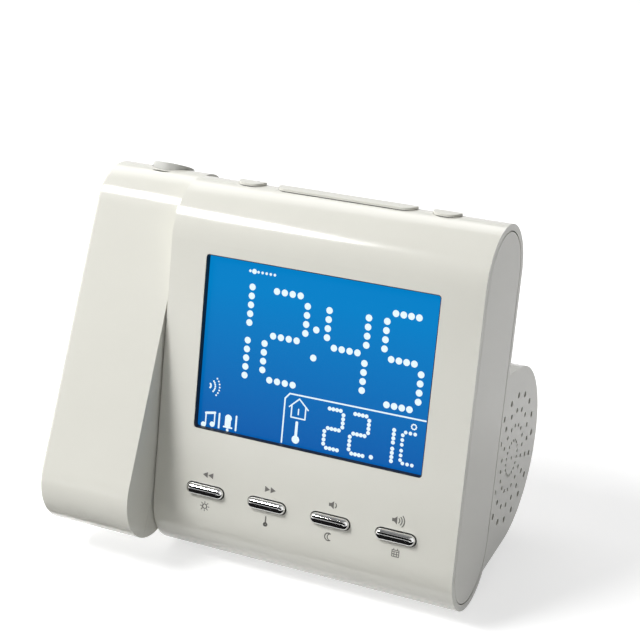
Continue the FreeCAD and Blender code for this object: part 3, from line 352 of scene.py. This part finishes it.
# %% [markdown]
# ## The circuit boards
# A board is glass cloth and resin under a green mask, with copper tracks that show as lighter green
# lines. A brick pattern with thin mortar gives tracks that run straight and turn at right angles, and a
# fine weave of noise underneath gives the cloth.

# %% Board green
board_green, tree, shader, place = start_finish("board_green")
tracks = tree.nodes.new("ShaderNodeTexBrick")
tracks.inputs["Scale"].default_value = 210.0
tracks.inputs["Mortar Size"].default_value = 0.035
tracks.inputs["Color1"].default_value = (0.010, 0.085, 0.032, 1.0)
tracks.inputs["Color2"].default_value = (0.013, 0.10, 0.038, 1.0)
tracks.inputs["Mortar"].default_value = (0.05, 0.24, 0.09, 1.0)
laid_flat = tree.nodes.new("ShaderNodeMapping")
laid_flat.inputs["Rotation"].default_value = (math.radians(90.0), 0.0, 0.0)
join(tree, place, laid_flat.inputs["Vector"])
join(tree, laid_flat.outputs["Vector"], tracks.inputs["Vector"])
join(tree, tracks.outputs["Color"], shader.inputs["Base Color"])
cloth = speckle(tree, place, 1500.0, 3.0)
join(tree, spread(tree, cloth, 0.28, 0.42), shader.inputs["Roughness"])
raise_grain(tree, shader, cloth, 0.15, 0.00002)
print("made", board_green.name)

# %% [markdown]
# ## The speaker's paper cone
# The cone is pressed paper, black-grey with short fibres that catch the light. A noise that is
# stretched along one axis gives the fibres, and the surface is almost without gloss.

# %% Paper cone
cone_paper, tree, shader, place = start_finish("cone_paper")
fibres = speckle(tree, place, 900.0, 5.0, (1.0, 4.0, 1.0))
join(tree, two_tones(tree, fibres, (0.02, 0.02, 0.021), (0.055, 0.054, 0.052)), shader.inputs["Base Color"])
raise_grain(tree, shader, fibres, 0.5, 0.00008)
shader.inputs["Roughness"].default_value = 0.9
print("made", cone_paper.name)

# %% [markdown]
# ## Clear pieces and the lamp
# The lenses of the projector are clear acrylic, so light passes through them and bends. The guide
# behind the display is milky acrylic. The lamp is a red light-emitting diode in a clear tinted dome.
# Numbers that hold for the whole piece, such as the index of refraction, are set on the shader's own
# sockets.

# %% Acrylic and diode
lens_clear, tree, shader, place = start_finish("lens_clear")
shader.inputs["Transmission Weight"].default_value = 1.0
shader.inputs["IOR"].default_value = 1.49
film = speckle(tree, place, 900.0, 3.0)
join(tree, two_tones(tree, film, (0.95, 0.97, 0.98), (1.0, 1.0, 1.0)), shader.inputs["Base Color"])
join(tree, spread(tree, film, 0.01, 0.05), shader.inputs["Roughness"])

guide_milk, tree, shader, place = start_finish("guide_milk")
shader.inputs["Transmission Weight"].default_value = 0.35
shader.inputs["IOR"].default_value = 1.49
clouds = speckle(tree, place, 240.0, 4.0)
join(tree, two_tones(tree, clouds, (0.82, 0.87, 0.90), (0.93, 0.95, 0.96)), shader.inputs["Base Color"])
join(tree, spread(tree, clouds, 0.25, 0.45), shader.inputs["Roughness"])

diode_red, tree, shader, place = start_finish("diode_red")
shader.inputs["Transmission Weight"].default_value = 0.6
shader.inputs["IOR"].default_value = 1.53
tint = speckle(tree, place, 1200.0, 2.0)
join(tree, two_tones(tree, tint, (0.55, 0.01, 0.01), (0.78, 0.03, 0.02)), shader.inputs["Base Color"])
shader.inputs["Roughness"].default_value = 0.08
print("made", lens_clear.name, guide_milk.name, diode_red.name)

# %% [markdown]
# ## Dressing the solids
# Every solid of the frame now gets its finish. A table of names keeps this in one place: the finish,
# then the solids that wear it. Each solid ends with one material slot.

# %% Finishes onto solids
wears = {
    cabinet_plastic: (
        "front_cabinet rear_cover right_end_cap left_end_plate speaker_cover arm_front_shell arm_rear_shell"
        " battery_door"
    ),
    chrome: "rewind_button forward_button volume_down_button volume_up_button",
    key_plastic: "alarm_button snooze_bar sleep_button",
    window_black: "lcd_bezel projector_barrel lens_cell",
    display_blue: "lcd_glass",
    guide_milk: "lcd_diffuser",
    holder_white: "lcd_holder pivot_hub pivot_retainer",
    board_green: "main_board key_board top_key_board power_board led_board",
    chip_black: "board_chips",
    switch_black: "front_key_switches top_key_switches",
    jack_black: "dc_jack",
    pin_brass: "dc_jack_pin",
    zinc_steel: (
        "coin_cell battery_contacts cover_screws board_screws speaker_screws arm_screws speaker_frame"
        " pivot_washer"
    ),
    ferrite: "speaker_magnet",
    cone_paper: "speaker_cone",
    rubber_and_gap_shade: "front_feet rear_feet",
    lens_clear: "condenser_lens projection_lens projection_display",
    diode_red: "projector_led",
    focus_grey: "focus_ring",
}
dressed = set()
for finish, names in wears.items():
    for name in names.split():
        slots = nodes[name].data.materials
        slots.clear()
        slots.append(finish)
        dressed.add(name)
print("dressed", len(dressed), "solids; still bare:", sorted(set(nodes) - dressed))

# %% [markdown]
# ## Making flat pieces for the display
# The dots and bars of the display are thin lozenges of light on the glass. Each starts from one bmesh
# operator, which gives a closed shape with clean normals: a short cone with cut-off tip for a dot, and
# a bevelled cube for a bar. They are drawn on the upright face, and one call lays the whole mesh onto
# the leaning one.

# %% Helpers for the display
LIT_HEIGHT = 0.00006
LIT_SURFACE = glass_front - LIT_HEIGHT / 2


def lit_dot(shape, x, z, radius):
    """A round lit dot, its centre in millimetres on the face."""
    stand = Matrix.Translation((x * MM, LIT_SURFACE, z * MM)) @ Matrix.Rotation(math.radians(90.0), 4, "X")
    bmesh.ops.create_cone(
        shape, cap_ends=True, segments=20, radius1=radius * MM, radius2=radius * 0.94 * MM,
        depth=LIT_HEIGHT, matrix=stand,
    )


def lit_bar(shape, start, end, thick):
    """A straight lit bar between two points on the face, in millimetres, with rounded ends."""
    run = Vector((end[0] - start[0], end[1] - start[1]))
    turn = math.atan2(run.y, run.x)
    middle = ((start[0] + end[0]) / 2 * MM, LIT_SURFACE, (start[1] + end[1]) / 2 * MM)
    stretched = Matrix.Diagonal(((run.length + thick) * MM, LIT_HEIGHT, thick * MM, 1.0))
    made = bmesh.ops.create_cube(
        shape, size=1.0, matrix=Matrix.Translation(middle) @ Matrix.Rotation(-turn, 4, "Y") @ stretched,
    )
    across = []
    for edge in dict.fromkeys(edge for corner in made["verts"] for edge in corner.link_edges):
        along = edge.verts[1].co - edge.verts[0].co
        if abs(along.y) > LIT_HEIGHT * 0.5:
            across.append(edge)
    bmesh.ops.bevel(
        shape, geom=across, offset=thick * 0.42 * MM, segments=4, profile=0.5, affect="EDGES", material=-1,
    )


def finish_piece(shape, name, material, body):
    """Lays a mesh onto the leaning face, gives it its material, and lets it ride on a body."""
    bmesh.ops.transform(shape, matrix=face_place, verts=shape.verts)
    mesh = bpy.data.meshes.new(name)
    shape.to_mesh(mesh)
    shape.free()
    mesh.materials.append(material)
    piece = bpy.data.objects.new(name, mesh)
    bpy.context.collection.objects.link(piece)
    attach(piece, body)
    print("made", name, "with", len(mesh.polygons), "faces")
    return piece


# %% [markdown]
# ## The time in dots
# The big digits are made of round dots on a grid of six columns and eleven rows. A digit is lit by
# segments, as on any digital clock, and a segment is four dots in a line. The first digit can only ever
# be a one, so it is a single column that is lit from top to bottom, with its middle dot dark.

# %% Big digits
DOT_RADIUS = 1.03
DOT_TOP = 19.13
DOT_DROP = 2.733
SEGMENT_DOTS = {
    "top": [(column, 0) for column in range(1, 5)],
    "upper_left": [(0, row) for row in range(1, 5)],
    "upper_right": [(5, row) for row in range(1, 5)],
    "middle": [(column, 5) for column in range(1, 5)],
    "lower_left": [(0, row) for row in range(6, 10)],
    "lower_right": [(5, row) for row in range(6, 10)],
    "bottom": [(column, 10) for column in range(1, 5)],
}
LIT_SEGMENTS = {
    2: ("top", "upper_right", "middle", "lower_left", "bottom"),
    4: ("upper_left", "upper_right", "middle", "lower_right"),
    5: ("top", "upper_left", "middle", "lower_right", "bottom"),
}
BIG_DIGITS = ((2, -16.95, -4.02), (4, 3.0, 15.52), (5, 21.25, 33.22))
ONE_LEFT = -22.45
ONE_LEAN = 0.025
COLON_DOTS = ((-0.62, 9.86), (-0.76, 1.29))

shape = bmesh.new()
for row in (0, 1, 2, 3, 4, 6, 7, 8, 9, 10):
    lit_dot(shape, ONE_LEFT - row * ONE_LEAN, DOT_TOP - row * DOT_DROP, DOT_RADIUS)
for digit, left, right in BIG_DIGITS:
    for segment in LIT_SEGMENTS[digit]:
        for column, row in SEGMENT_DOTS[segment]:
            lit_dot(shape, left + (right - left) * column / 5, DOT_TOP - row * DOT_DROP, DOT_RADIUS)
for x, z in COLON_DOTS:
    lit_dot(shape, x, z, DOT_RADIUS)
finish_piece(shape, "time_dots", dot_light, "clock")

# %% [markdown]
# ## The room temperature
# Lower right, inside a frame line, the display shows the temperature in smaller digits. Each of their
# segments is a row of four small dots that nearly touch, which reads as a beaded line. The letter of
# the unit has three dots to a stroke.

# %% Small digits
SMALL_RADIUS = 0.62
SMALL_SEGMENTS = {
    "top": ((1.0, 0.0), (4.6, 0.0)),
    "upper_right": ((5.6, -1.15), (5.6, -4.9)),
    "middle": ((1.0, -6.05), (4.6, -6.05)),
    "lower_left": ((0.0, -7.2), (0.0, -11.1)),
    "lower_right": ((5.6, -7.2), (5.6, -11.1)),
    "upper_left": ((0.0, -1.15), (0.0, -4.9)),
    "bottom": ((1.0, -12.2), (4.6, -12.2)),
}
SMALL_TOP = -12.9
SMALL_LEFTS = (5.0, 13.25)
SMALL_ONE = (((26.85, -15.2), (26.85, -19.0)), ((26.85, -20.9), (26.85, -24.7)))
UNIT_LETTER = (
    ((30.45, -15.2), (33.4, -15.2)), ((29.65, -16.2), (29.65, -19.1)),
    ((29.65, -20.9), (29.65, -23.8)), ((30.45, -24.65), (33.4, -24.65)),
)
DECIMAL_POINT = (20.5, -24.9)


def beaded_line(shape, start, end, radius, beads=4):
    """A row of small lit dots from one point of the face to another."""
    for step in range(beads):
        point = Vector(start).lerp(Vector(end), step / (beads - 1))
        lit_dot(shape, point.x, point.y, radius)


shape = bmesh.new()
for left in SMALL_LEFTS:
    for segment in LIT_SEGMENTS[2]:
        start, end = (Vector(point) + Vector((left, SMALL_TOP)) for point in SMALL_SEGMENTS[segment])
        beaded_line(shape, start, end, SMALL_RADIUS)
lit_dot(shape, *DECIMAL_POINT, SMALL_RADIUS * 1.1)
for start, end in SMALL_ONE:
    beaded_line(shape, start, end, SMALL_RADIUS)
for start, end in UNIT_LETTER:
    beaded_line(shape, start, end, SMALL_RADIUS * 0.9, 3)
finish_piece(shape, "temperature_dots", dot_light, "clock")

# %% [markdown]
# ## Signs on the display
# A thin line frames the temperature, and a house with a thermometer says that it is the room's. At the
# left, a note and a bell stand for the two alarms, a fan of waves for the radio, and a row of seven
# dots for the days of the week, with the second one lit larger. All are bars and dots of light.

# %% Frame line and house
LINE = 0.45
STROKE = 0.4
FRAME_LINE = (
    ((-8.6, -26.4), (-8.6, -12.6)), ((-8.6, -12.6), (-7.2, -10.9)), ((-7.2, -10.9), (36.2, -10.6)),
)
HOUSE = (
    ((-7.0, -14.9), (-3.9, -12.0)), ((-3.9, -12.0), (-0.8, -14.9)), ((-6.2, -14.3), (-6.2, -18.0)),
    ((-1.6, -14.3), (-1.6, -18.0)), ((-6.2, -18.0), (-1.6, -18.0)), ((-3.9, -15.2), (-3.9, -16.8)),
)
DEGREE_RING = (32.8, -13.05, 0.75)
DEGREE_DOTS = 10

shape = bmesh.new()
for start, end in FRAME_LINE:
    lit_bar(shape, start, end, LINE)
for start, end in HOUSE:
    lit_bar(shape, start, end, STROKE)
lit_bar(shape, (-4.1, -19.4), (-4.1, -23.6), 0.85)
lit_dot(shape, -4.1, -24.7, 1.25)
for step in range(DEGREE_DOTS):
    angle = math.tau * step / DEGREE_DOTS
    x, z, radius = DEGREE_RING
    lit_dot(shape, x + radius * math.cos(angle), z + radius * math.sin(angle), 0.24)
finish_piece(shape, "display_signs", dot_light, "clock")

# %% Alarm, radio and weekday signs
DAY_LEFT = -23.6
DAY_PITCH = 1.35
DAY_ROW = 23.9
LARGE_DAY = 1
WAVE_ROOT = (-34.6, -13.7)
WAVE_RADII = (0.9, 2.4, 3.9)
WAVE_STEP = 14.0
SIGN_DOTS = (
    (-35.3, -26.3, 0.85), (-32.3, -25.7, 0.85), (-26.9, -22.7, 1.15), (-27.0, -26.5, 0.45),
)
SIGN_BARS = (
    ((-34.6, -26.2), (-34.6, -22.4), 0.4), ((-31.6, -25.6), (-31.6, -21.8), 0.4),
    ((-34.6, -22.5), (-31.6, -21.9), 0.75), ((-30.0, -21.9), (-30.0, -26.3), 0.55),
    ((-27.0, -23.4), (-27.0, -25.0), 2.0), ((-28.3, -25.6), (-25.6, -25.6), 0.5),
    ((-24.2, -21.6), (-24.2, -26.0), 0.55),
)

shape = bmesh.new()
for day in range(7):
    lit_dot(shape, DAY_LEFT + day * DAY_PITCH, DAY_ROW, 0.78 if day == LARGE_DAY else 0.42)
for radius in WAVE_RADII:
    for step in range(-3, 4):
        angle = math.radians(WAVE_STEP * step)
        lit_dot(
            shape, WAVE_ROOT[0] + radius * math.cos(angle), WAVE_ROOT[1] + radius * math.sin(angle), 0.28,
        )
for x, z, radius in SIGN_DOTS:
    lit_dot(shape, x, z, radius)
for start, end, thick in SIGN_BARS:
    lit_bar(shape, start, end, thick)
finish_piece(shape, "alarm_signs", dot_light, "clock")

# %% [markdown]
# ## The lining of the window
# A thin black lining runs round the window, between the cabinet's edge and the glass. It keeps stray
# light off the display, and from the front it is only a fine dark line, wider at the left where the eye
# looks onto its inner wall. It starts as one flat face with rounded corners. An inset gives the ring,
# and an extrusion gives it depth.

# %% Window lining
WINDOW_HALF_WIDTH = 37.45
WINDOW_HALF_HEIGHT = 27.125
WINDOW_CORNER = 1.0
LINING_WALL = 0.22
LINING_FRONT = 0.12
LINING_BACK_GAP = 0.04


def deep_ring(shape, wall, depth, way):
    """Turns the one face of a mesh into a ring with walls, and draws it out along a way."""
    face = shape.faces[:]
    bmesh.ops.inset_region(shape, faces=face, thickness=wall, use_boundary=True, use_even_offset=True)
    bmesh.ops.delete(shape, geom=face, context="FACES")
    rim = bmesh.ops.extrude_face_region(shape, geom=shape.faces[:], use_keep_orig=True)
    moved = [item for item in rim["geom"] if isinstance(item, bmesh.types.BMVert)]
    bmesh.ops.translate(shape, verts=moved, vec=way * depth)
    bmesh.ops.recalc_face_normals(shape, faces=shape.faces)


shape = bmesh.new()
bmesh.ops.create_grid(shape, x_segments=1, y_segments=1, size=0.5)
window_size = (2 * WINDOW_HALF_WIDTH * MM, 2 * WINDOW_HALF_HEIGHT * MM, 1.0)
bmesh.ops.scale(shape, vec=window_size, verts=shape.verts)
bmesh.ops.rotate(shape, matrix=Matrix.Rotation(math.radians(90.0), 3, "X"), verts=shape.verts)
bmesh.ops.bevel(
    shape, geom=shape.verts[:], offset=WINDOW_CORNER * MM, segments=6, profile=0.5, affect="VERTICES",
    material=-1,
)
lining_depth = glass_front - (LINING_FRONT + LINING_BACK_GAP) * MM
deep_ring(shape, LINING_WALL * MM, lining_depth, Vector((0.0, 1.0, 0.0)))
bmesh.ops.translate(shape, verts=shape.verts, vec=(0.0, LINING_FRONT * MM, 0.0))
window_lining = finish_piece(shape, "window_lining", window_black, "clock")
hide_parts("lcd_bezel")

# %% [markdown]
# ## Painted shade round the buttons
# Each chrome button moves in its slot with a fine gap, and so do the keys on the crown. The gap lies
# in shade and looks black from outside, so a thin dark ring of painted shade lines the wall of each
# slot and stays clear of the key. It is a long ring with round ends: a circle is filled, pulled apart along
# X, inset and extruded.

# %% Rings of painted shade for the slots


def gap_shade_ring(length, height, wall, depth):
    """A long ring of painted shade with round ends, flat in X and Y, drawn out along Z."""
    ring = bmesh.new()
    bmesh.ops.create_circle(ring, cap_ends=True, segments=48, radius=height / 2 * MM)
    run = (length - height) / 2 * MM
    for point in ring.verts:
        point.co.x += math.copysign(run, point.co.x)
    deep_ring(ring, wall * MM, depth * MM, Vector((0.0, 0.0, 1.0)))
    return ring


def join_shapes(target, ring, place):
    """Adds a finished small shape to a larger one, at a place."""
    bmesh.ops.transform(ring, matrix=place, verts=ring.verts)
    carrier = bpy.data.meshes.new("carrier")
    ring.to_mesh(carrier)
    ring.free()
    target.from_mesh(carrier)
    bpy.data.meshes.remove(carrier)


# %% Painted shade in the slots of the front buttons
FRONT_KEYS = (-31.75, -10.65, 10.45, 31.55)
KEY_ROW = -46.5
SLOT_LENGTH = 13.28
SLOT_HEIGHT = 4.13
GAP_SHADE_WALL = 0.17
GAP_SHADE_DEPTH = 1.85
GAP_SHADE_FRONT = 0.08

shape = bmesh.new()
for key in FRONT_KEYS:
    stand = Matrix.Translation((key * MM, GAP_SHADE_FRONT * MM, KEY_ROW * MM))
    stand = stand @ Matrix.Rotation(math.radians(-90.0), 4, "X")
    join_shapes(shape, gap_shade_ring(SLOT_LENGTH, SLOT_HEIGHT, GAP_SHADE_WALL, GAP_SHADE_DEPTH), stand)
# These rings are painted shade: a dark ring where the gap round each chrome button lies in shade.
finish_piece(shape, "button_gap_shade", rubber_and_gap_shade, "clock")

# %% Painted shade in the slots of the crown keys
CROWN_KEYS = ((-32.3, 8.98), (-0.8, 45.08), (30.9, 8.98))
CROWN_SLOT_DEPTH = 7.78
CROWN_GAP_SHADE_WALL = 0.13
CROWN_GAP_SHADE_DEPTH = 0.93
CROWN_GAP_SHADE_PLACE = (17.0, 46.3)

shape = bmesh.new()
for middle, length in CROWN_KEYS:
    stand = Matrix.Translation(Vector((middle, *CROWN_GAP_SHADE_PLACE)) * MM)
    join_shapes(shape, gap_shade_ring(length, CROWN_SLOT_DEPTH, CROWN_GAP_SHADE_WALL, CROWN_GAP_SHADE_DEPTH), stand)
# These rings are painted shade too, for the shadowed gaps round the keys on the crown.
finish_piece(shape, "crown_gap_shade", rubber_and_gap_shade, "clock")

# %% [markdown]
# ## Printed signs at the buttons
# Over each chrome button stands a grey pictogram: two arrowheads back, two arrowheads on, a small
# loudspeaker and one with sound waves. Under them are small signs for the second use of the key: sun,
# thermometer, moon and calendar. Each stroke is a few corners joined to one face, then extruded by the
# thickness of the ink.

# %% Helper for printed signs
INK_HEIGHT = 0.00004


def ink_patch(shape, corners):
    """A closed patch of ink over corners on the face, in millimetres, listed against the clock."""
    points = [shape.verts.new((x * MM, 0.0, z * MM)) for x, z in corners]
    patch = shape.faces.new(points)
    grown = bmesh.ops.extrude_face_region(shape, geom=[patch], use_keep_orig=True)
    lifted = [item for item in grown["geom"] if isinstance(item, bmesh.types.BMVert)]
    bmesh.ops.translate(shape, verts=lifted, vec=(0.0, -INK_HEIGHT, 0.0))


def ink_stroke(shape, start, end, thick):
    """A straight stroke of ink between two points."""
    run = Vector((end[0] - start[0], end[1] - start[1])).normalized() * thick / 2
    ink_patch(shape, (
        (start[0] - run.x + run.y, start[1] - run.y - run.x),
        (end[0] + run.x + run.y, end[1] + run.y - run.x),
        (end[0] + run.x - run.y, end[1] + run.y + run.x),
        (start[0] - run.x - run.y, start[1] - run.y + run.x),
    ))


def ink_arc(shape, middle, radius, first, last, thick):
    """A curved stroke of ink, in short straight pieces."""
    steps = 8
    for step in range(steps):
        start = math.radians(first + (last - first) * step / steps)
        end = math.radians(first + (last - first) * (step + 1) / steps)
        ink_stroke(
            shape, (middle[0] + radius * math.cos(start), middle[1] + radius * math.sin(start)),
            (middle[0] + radius * math.cos(end), middle[1] + radius * math.sin(end)), thick,
        )


# %% Signs over the front buttons
SIGN_ROW = -41.4
ARROW_HALF_LENGTH = 0.85
ARROW_HALF_HEIGHT = 0.95


def arrowhead(shape, x, way):
    """A filled arrowhead whose tip points left for -1 and right for 1."""
    tip = (x + way * ARROW_HALF_LENGTH, SIGN_ROW)
    upper = (x - way * ARROW_HALF_LENGTH, SIGN_ROW + ARROW_HALF_HEIGHT)
    lower = (x - way * ARROW_HALF_LENGTH, SIGN_ROW - ARROW_HALF_HEIGHT)
    ink_patch(shape, (tip, upper, lower) if way > 0 else (tip, lower, upper))


def small_loudspeaker(shape, x, waves):
    """A loudspeaker seen from the side, with sound waves in front of it."""
    ink_patch(shape, (
        (x - 1.3, SIGN_ROW - 0.5), (x - 0.6, SIGN_ROW - 0.5), (x + 0.3, SIGN_ROW - 1.25),
        (x + 0.3, SIGN_ROW + 1.25), (x - 0.6, SIGN_ROW + 0.5), (x - 1.3, SIGN_ROW + 0.5),
    ))
    for wave in range(waves):
        ink_arc(shape, (x + 0.1, SIGN_ROW), 1.0 + 0.75 * wave, -42, 42, 0.28)


ARROWHEADS = ((-32.2, -1), (-30.3, -1), (-10.8, 1), (-8.9, 1))
LOUDSPEAKERS = ((10.9, 1), (31.2, 3))

shape = bmesh.new()
for x, way in ARROWHEADS:
    arrowhead(shape, x, way)
for x, waves in LOUDSPEAKERS:
    small_loudspeaker(shape, x, waves)
bmesh.ops.recalc_face_normals(shape, faces=shape.faces)
finish_piece(shape, "button_signs", sign_ink, "clock")

# %% Signs under the front buttons
NOTE_ROW = -51.6
SUN_X = -31.6
SUN_RAYS = 8
THERMOMETER_X = -10.6
MOON_X = 10.4
CALENDAR = (
    ((30.9, -52.6), (33.1, -52.6)), ((33.1, -52.6), (33.1, -50.6)), ((33.1, -50.6), (30.9, -50.6)),
    ((30.9, -50.6), (30.9, -52.6)), ((30.9, -51.1), (33.1, -51.1)), ((31.4, -50.5), (31.4, -50.1)),
    ((32.6, -50.5), (32.6, -50.1)), ((31.6, -52.4), (31.6, -51.3)), ((32.4, -52.4), (32.4, -51.3)),
    ((31.1, -51.85), (32.9, -51.85)),
)

shape = bmesh.new()
ink_arc(shape, (SUN_X, NOTE_ROW), 0.75, 0, 360, 0.3)
for ray in range(SUN_RAYS):
    angle = math.tau * ray / SUN_RAYS
    across, up = math.cos(angle), math.sin(angle)
    ink_stroke(
        shape, (SUN_X + 1.15 * across, NOTE_ROW + 1.15 * up), (SUN_X + 1.5 * across, NOTE_ROW + 1.5 * up),
        0.24,
    )
ink_stroke(shape, (THERMOMETER_X, NOTE_ROW + 1.4), (THERMOMETER_X, NOTE_ROW - 0.5), 0.42)
ink_arc(shape, (THERMOMETER_X, NOTE_ROW - 1.0), 0.45, 0, 360, 0.5)
ink_arc(shape, (MOON_X, NOTE_ROW), 1.2, 60, 300, 0.32)
ink_arc(shape, (MOON_X + 0.7, NOTE_ROW), 1.05, 105, 255, 0.28)
for start, end in CALENDAR:
    ink_stroke(shape, start, end, 0.22)
bmesh.ops.recalc_face_normals(shape, faces=shape.faces)
finish_piece(shape, "second_signs", sign_ink, "clock")

# %% [markdown]
# ## Floor and background
# The photograph has the clock on plain white. The floor is a matt pale sheet, so it keeps the soft
# shadow under the clock. Far from the lamps it would turn grey, so it glows a little, but only for what
# looks at it: the Light Path node tells the camera, mirrors and glass from the light that falls on the
# clock. The world is made the same way, white to look at and dimmer as a light.

# %% Helper for what is only seen
def only_seen(tree):
    """1 for a ray from the camera, a mirror or through glass, and 0 for a ray that gathers light."""
    path = tree.nodes.new("ShaderNodeLightPath")
    first = tree.nodes.new("ShaderNodeMath")
    first.operation = "MAXIMUM"
    join(tree, path.outputs["Is Camera Ray"], first.inputs[0])
    join(tree, path.outputs["Is Glossy Ray"], first.inputs[1])
    both = tree.nodes.new("ShaderNodeMath")
    both.operation = "MAXIMUM"
    join(tree, first.outputs["Value"], both.inputs[0])
    join(tree, path.outputs["Is Transmission Ray"], both.inputs[1])
    return both.outputs["Value"]


# %% Floor
shape = bmesh.new()
bmesh.ops.create_grid(shape, x_segments=8, y_segments=8, size=3.0)
floor_mesh = bpy.data.meshes.new("floor")
shape.to_mesh(floor_mesh)
shape.free()
floor = bpy.data.objects.new("floor", floor_mesh)
bpy.context.collection.objects.link(floor)
floor_paper, tree, shader, place = start_finish("floor_paper")
pulp = speckle(tree, place, 60.0, 3.0)
join(tree, two_tones(tree, pulp, (0.63, 0.63, 0.63), (0.65, 0.65, 0.65)), shader.inputs["Base Color"])
shader.inputs["Roughness"].default_value = 0.9
shader.inputs["Specular IOR Level"].default_value = 0.0
shader.inputs["Emission Color"].default_value = (1.0, 1.0, 1.0, 1.0)
join(tree, spread(tree, only_seen(tree), 0.0, 0.62), shader.inputs["Emission Strength"])
floor_mesh.materials.append(floor_paper)
print("floor ready")

# %% World
world = bpy.data.worlds.new("studio")
bpy.context.scene.world = world
world.use_nodes = True
tree = world.node_tree
room = tree.nodes["Background"]
room.inputs["Color"].default_value = (1.0, 1.0, 1.0, 1.0)
join(tree, spread(tree, only_seen(tree), 0.20, 1.0), room.inputs["Strength"])
print("world ready")

# %% [markdown]
# ## Lamps
# Two white bands run along the rounded crown of the clock in the photograph. They are the reflections
# of two soft boxes, and the slope of the crown under each band tells where its box stood: a broad one
# above and behind, and a slim rounded one at the front left. A third and larger box low at the left
# fills the face and the arm. The right end gets none of them, so it stays in half shade.

# %% Lamps
CLOCK_MIDDLE = Vector((0.0, 0.0, 0.07))


def soft_box(name, towards, distance, size, power, form="RECTANGLE"):
    """An area lamp that stands in one direction from the clock and faces it."""
    data = bpy.data.lights.new(name, "AREA")
    data.shape = form
    data.size = size[0]
    data.size_y = size[1]
    data.energy = power
    lamp = bpy.data.objects.new(name, data)
    lamp.location = CLOCK_MIDDLE + Vector(towards).normalized() * distance
    lamp.rotation_euler = (CLOCK_MIDDLE - lamp.location).to_track_quat("-Z", "Y").to_euler()
    bpy.context.collection.objects.link(lamp)


soft_box("back_box", towards=(-0.45, 0.55, 0.70), distance=1.0, size=(0.95, 0.46), power=3.0)
soft_box(
    "front_left_box", towards=(-0.50, -0.44, 0.76), distance=1.0, size=(0.42, 0.17), power=7.5,
    form="ELLIPSE",
)
soft_box("side_box", towards=(-0.84, -0.48, 0.26), distance=1.2, size=(1.0, 1.0), power=5.2)
bpy.context.scene.view_settings.view_transform = "Standard"
print("lamps ready")

# %% [markdown]
# ## Cards for the chrome
# Chrome shows what stands in front of it. A studio puts cards there, so that a bright button gets dark
# bands and an edge. Here a dark card stands in front, a dark strip hangs above it, and a dark sheet
# lies on the floor before the clock. A grey card overhead gives the band above them. Only mirrors see
# the cards, so they take no light from the clock.

# %% Cards
DARK = (0.012, 0.012, 0.012)
GREY = (0.30, 0.30, 0.30)


def mirror_card(name, grey, towards, distance, width, height, lying=False):
    """A card that faces the clock, or lies on the floor, and is seen by mirrors alone."""
    card_mesh = bpy.data.meshes.new(name)
    shape = bmesh.new()
    bmesh.ops.create_grid(shape, x_segments=1, y_segments=1, size=0.5)
    middle = CLOCK_MIDDLE + Vector(towards).normalized() * distance
    turned = (CLOCK_MIDDLE - middle).to_track_quat("Z", "Y").to_matrix().to_4x4()
    if lying:
        turned = Matrix.Identity(4)
    stretched = Matrix.Diagonal((width, height, 1.0, 1.0))
    bmesh.ops.transform(shape, matrix=Matrix.Translation(middle) @ turned @ stretched, verts=shape.verts)
    shape.to_mesh(card_mesh)
    shape.free()
    card = bpy.data.objects.new(name, card_mesh)
    bpy.context.collection.objects.link(card)
    paint, tree, shader, place = start_finish(name + "_paint")
    fibre = speckle(tree, place, 30.0, 2.0)
    darker = tuple(value * 0.8 for value in grey)
    join(tree, two_tones(tree, fibre, darker, grey), shader.inputs["Emission Color"])
    shader.inputs["Emission Strength"].default_value = 1.0
    shader.inputs["Base Color"].default_value = (0.0, 0.0, 0.0, 1.0)
    shader.inputs["Specular IOR Level"].default_value = 0.0
    card_mesh.materials.append(paint)
    card.visible_camera = False
    card.visible_diffuse = False
    card.visible_shadow = False
    card.visible_transmission = False


mirror_card("dark_card", DARK, towards=(-0.25, -0.90, 0.32), distance=0.72, width=2.2, height=0.50)
mirror_card("dark_strip", DARK, towards=(-0.26, -0.45, 0.86), distance=1.06, width=2.2, height=0.14)
mirror_card("grey_card", GREY, towards=(-0.10, 0.10, 1.0), distance=1.15, width=3.0, height=1.5)
mirror_card(
    "dark_sheet", DARK, towards=(-0.06, -0.17, -0.0694), distance=0.1932, width=0.9, height=0.26,
    lying=True,
)
print("cards ready")
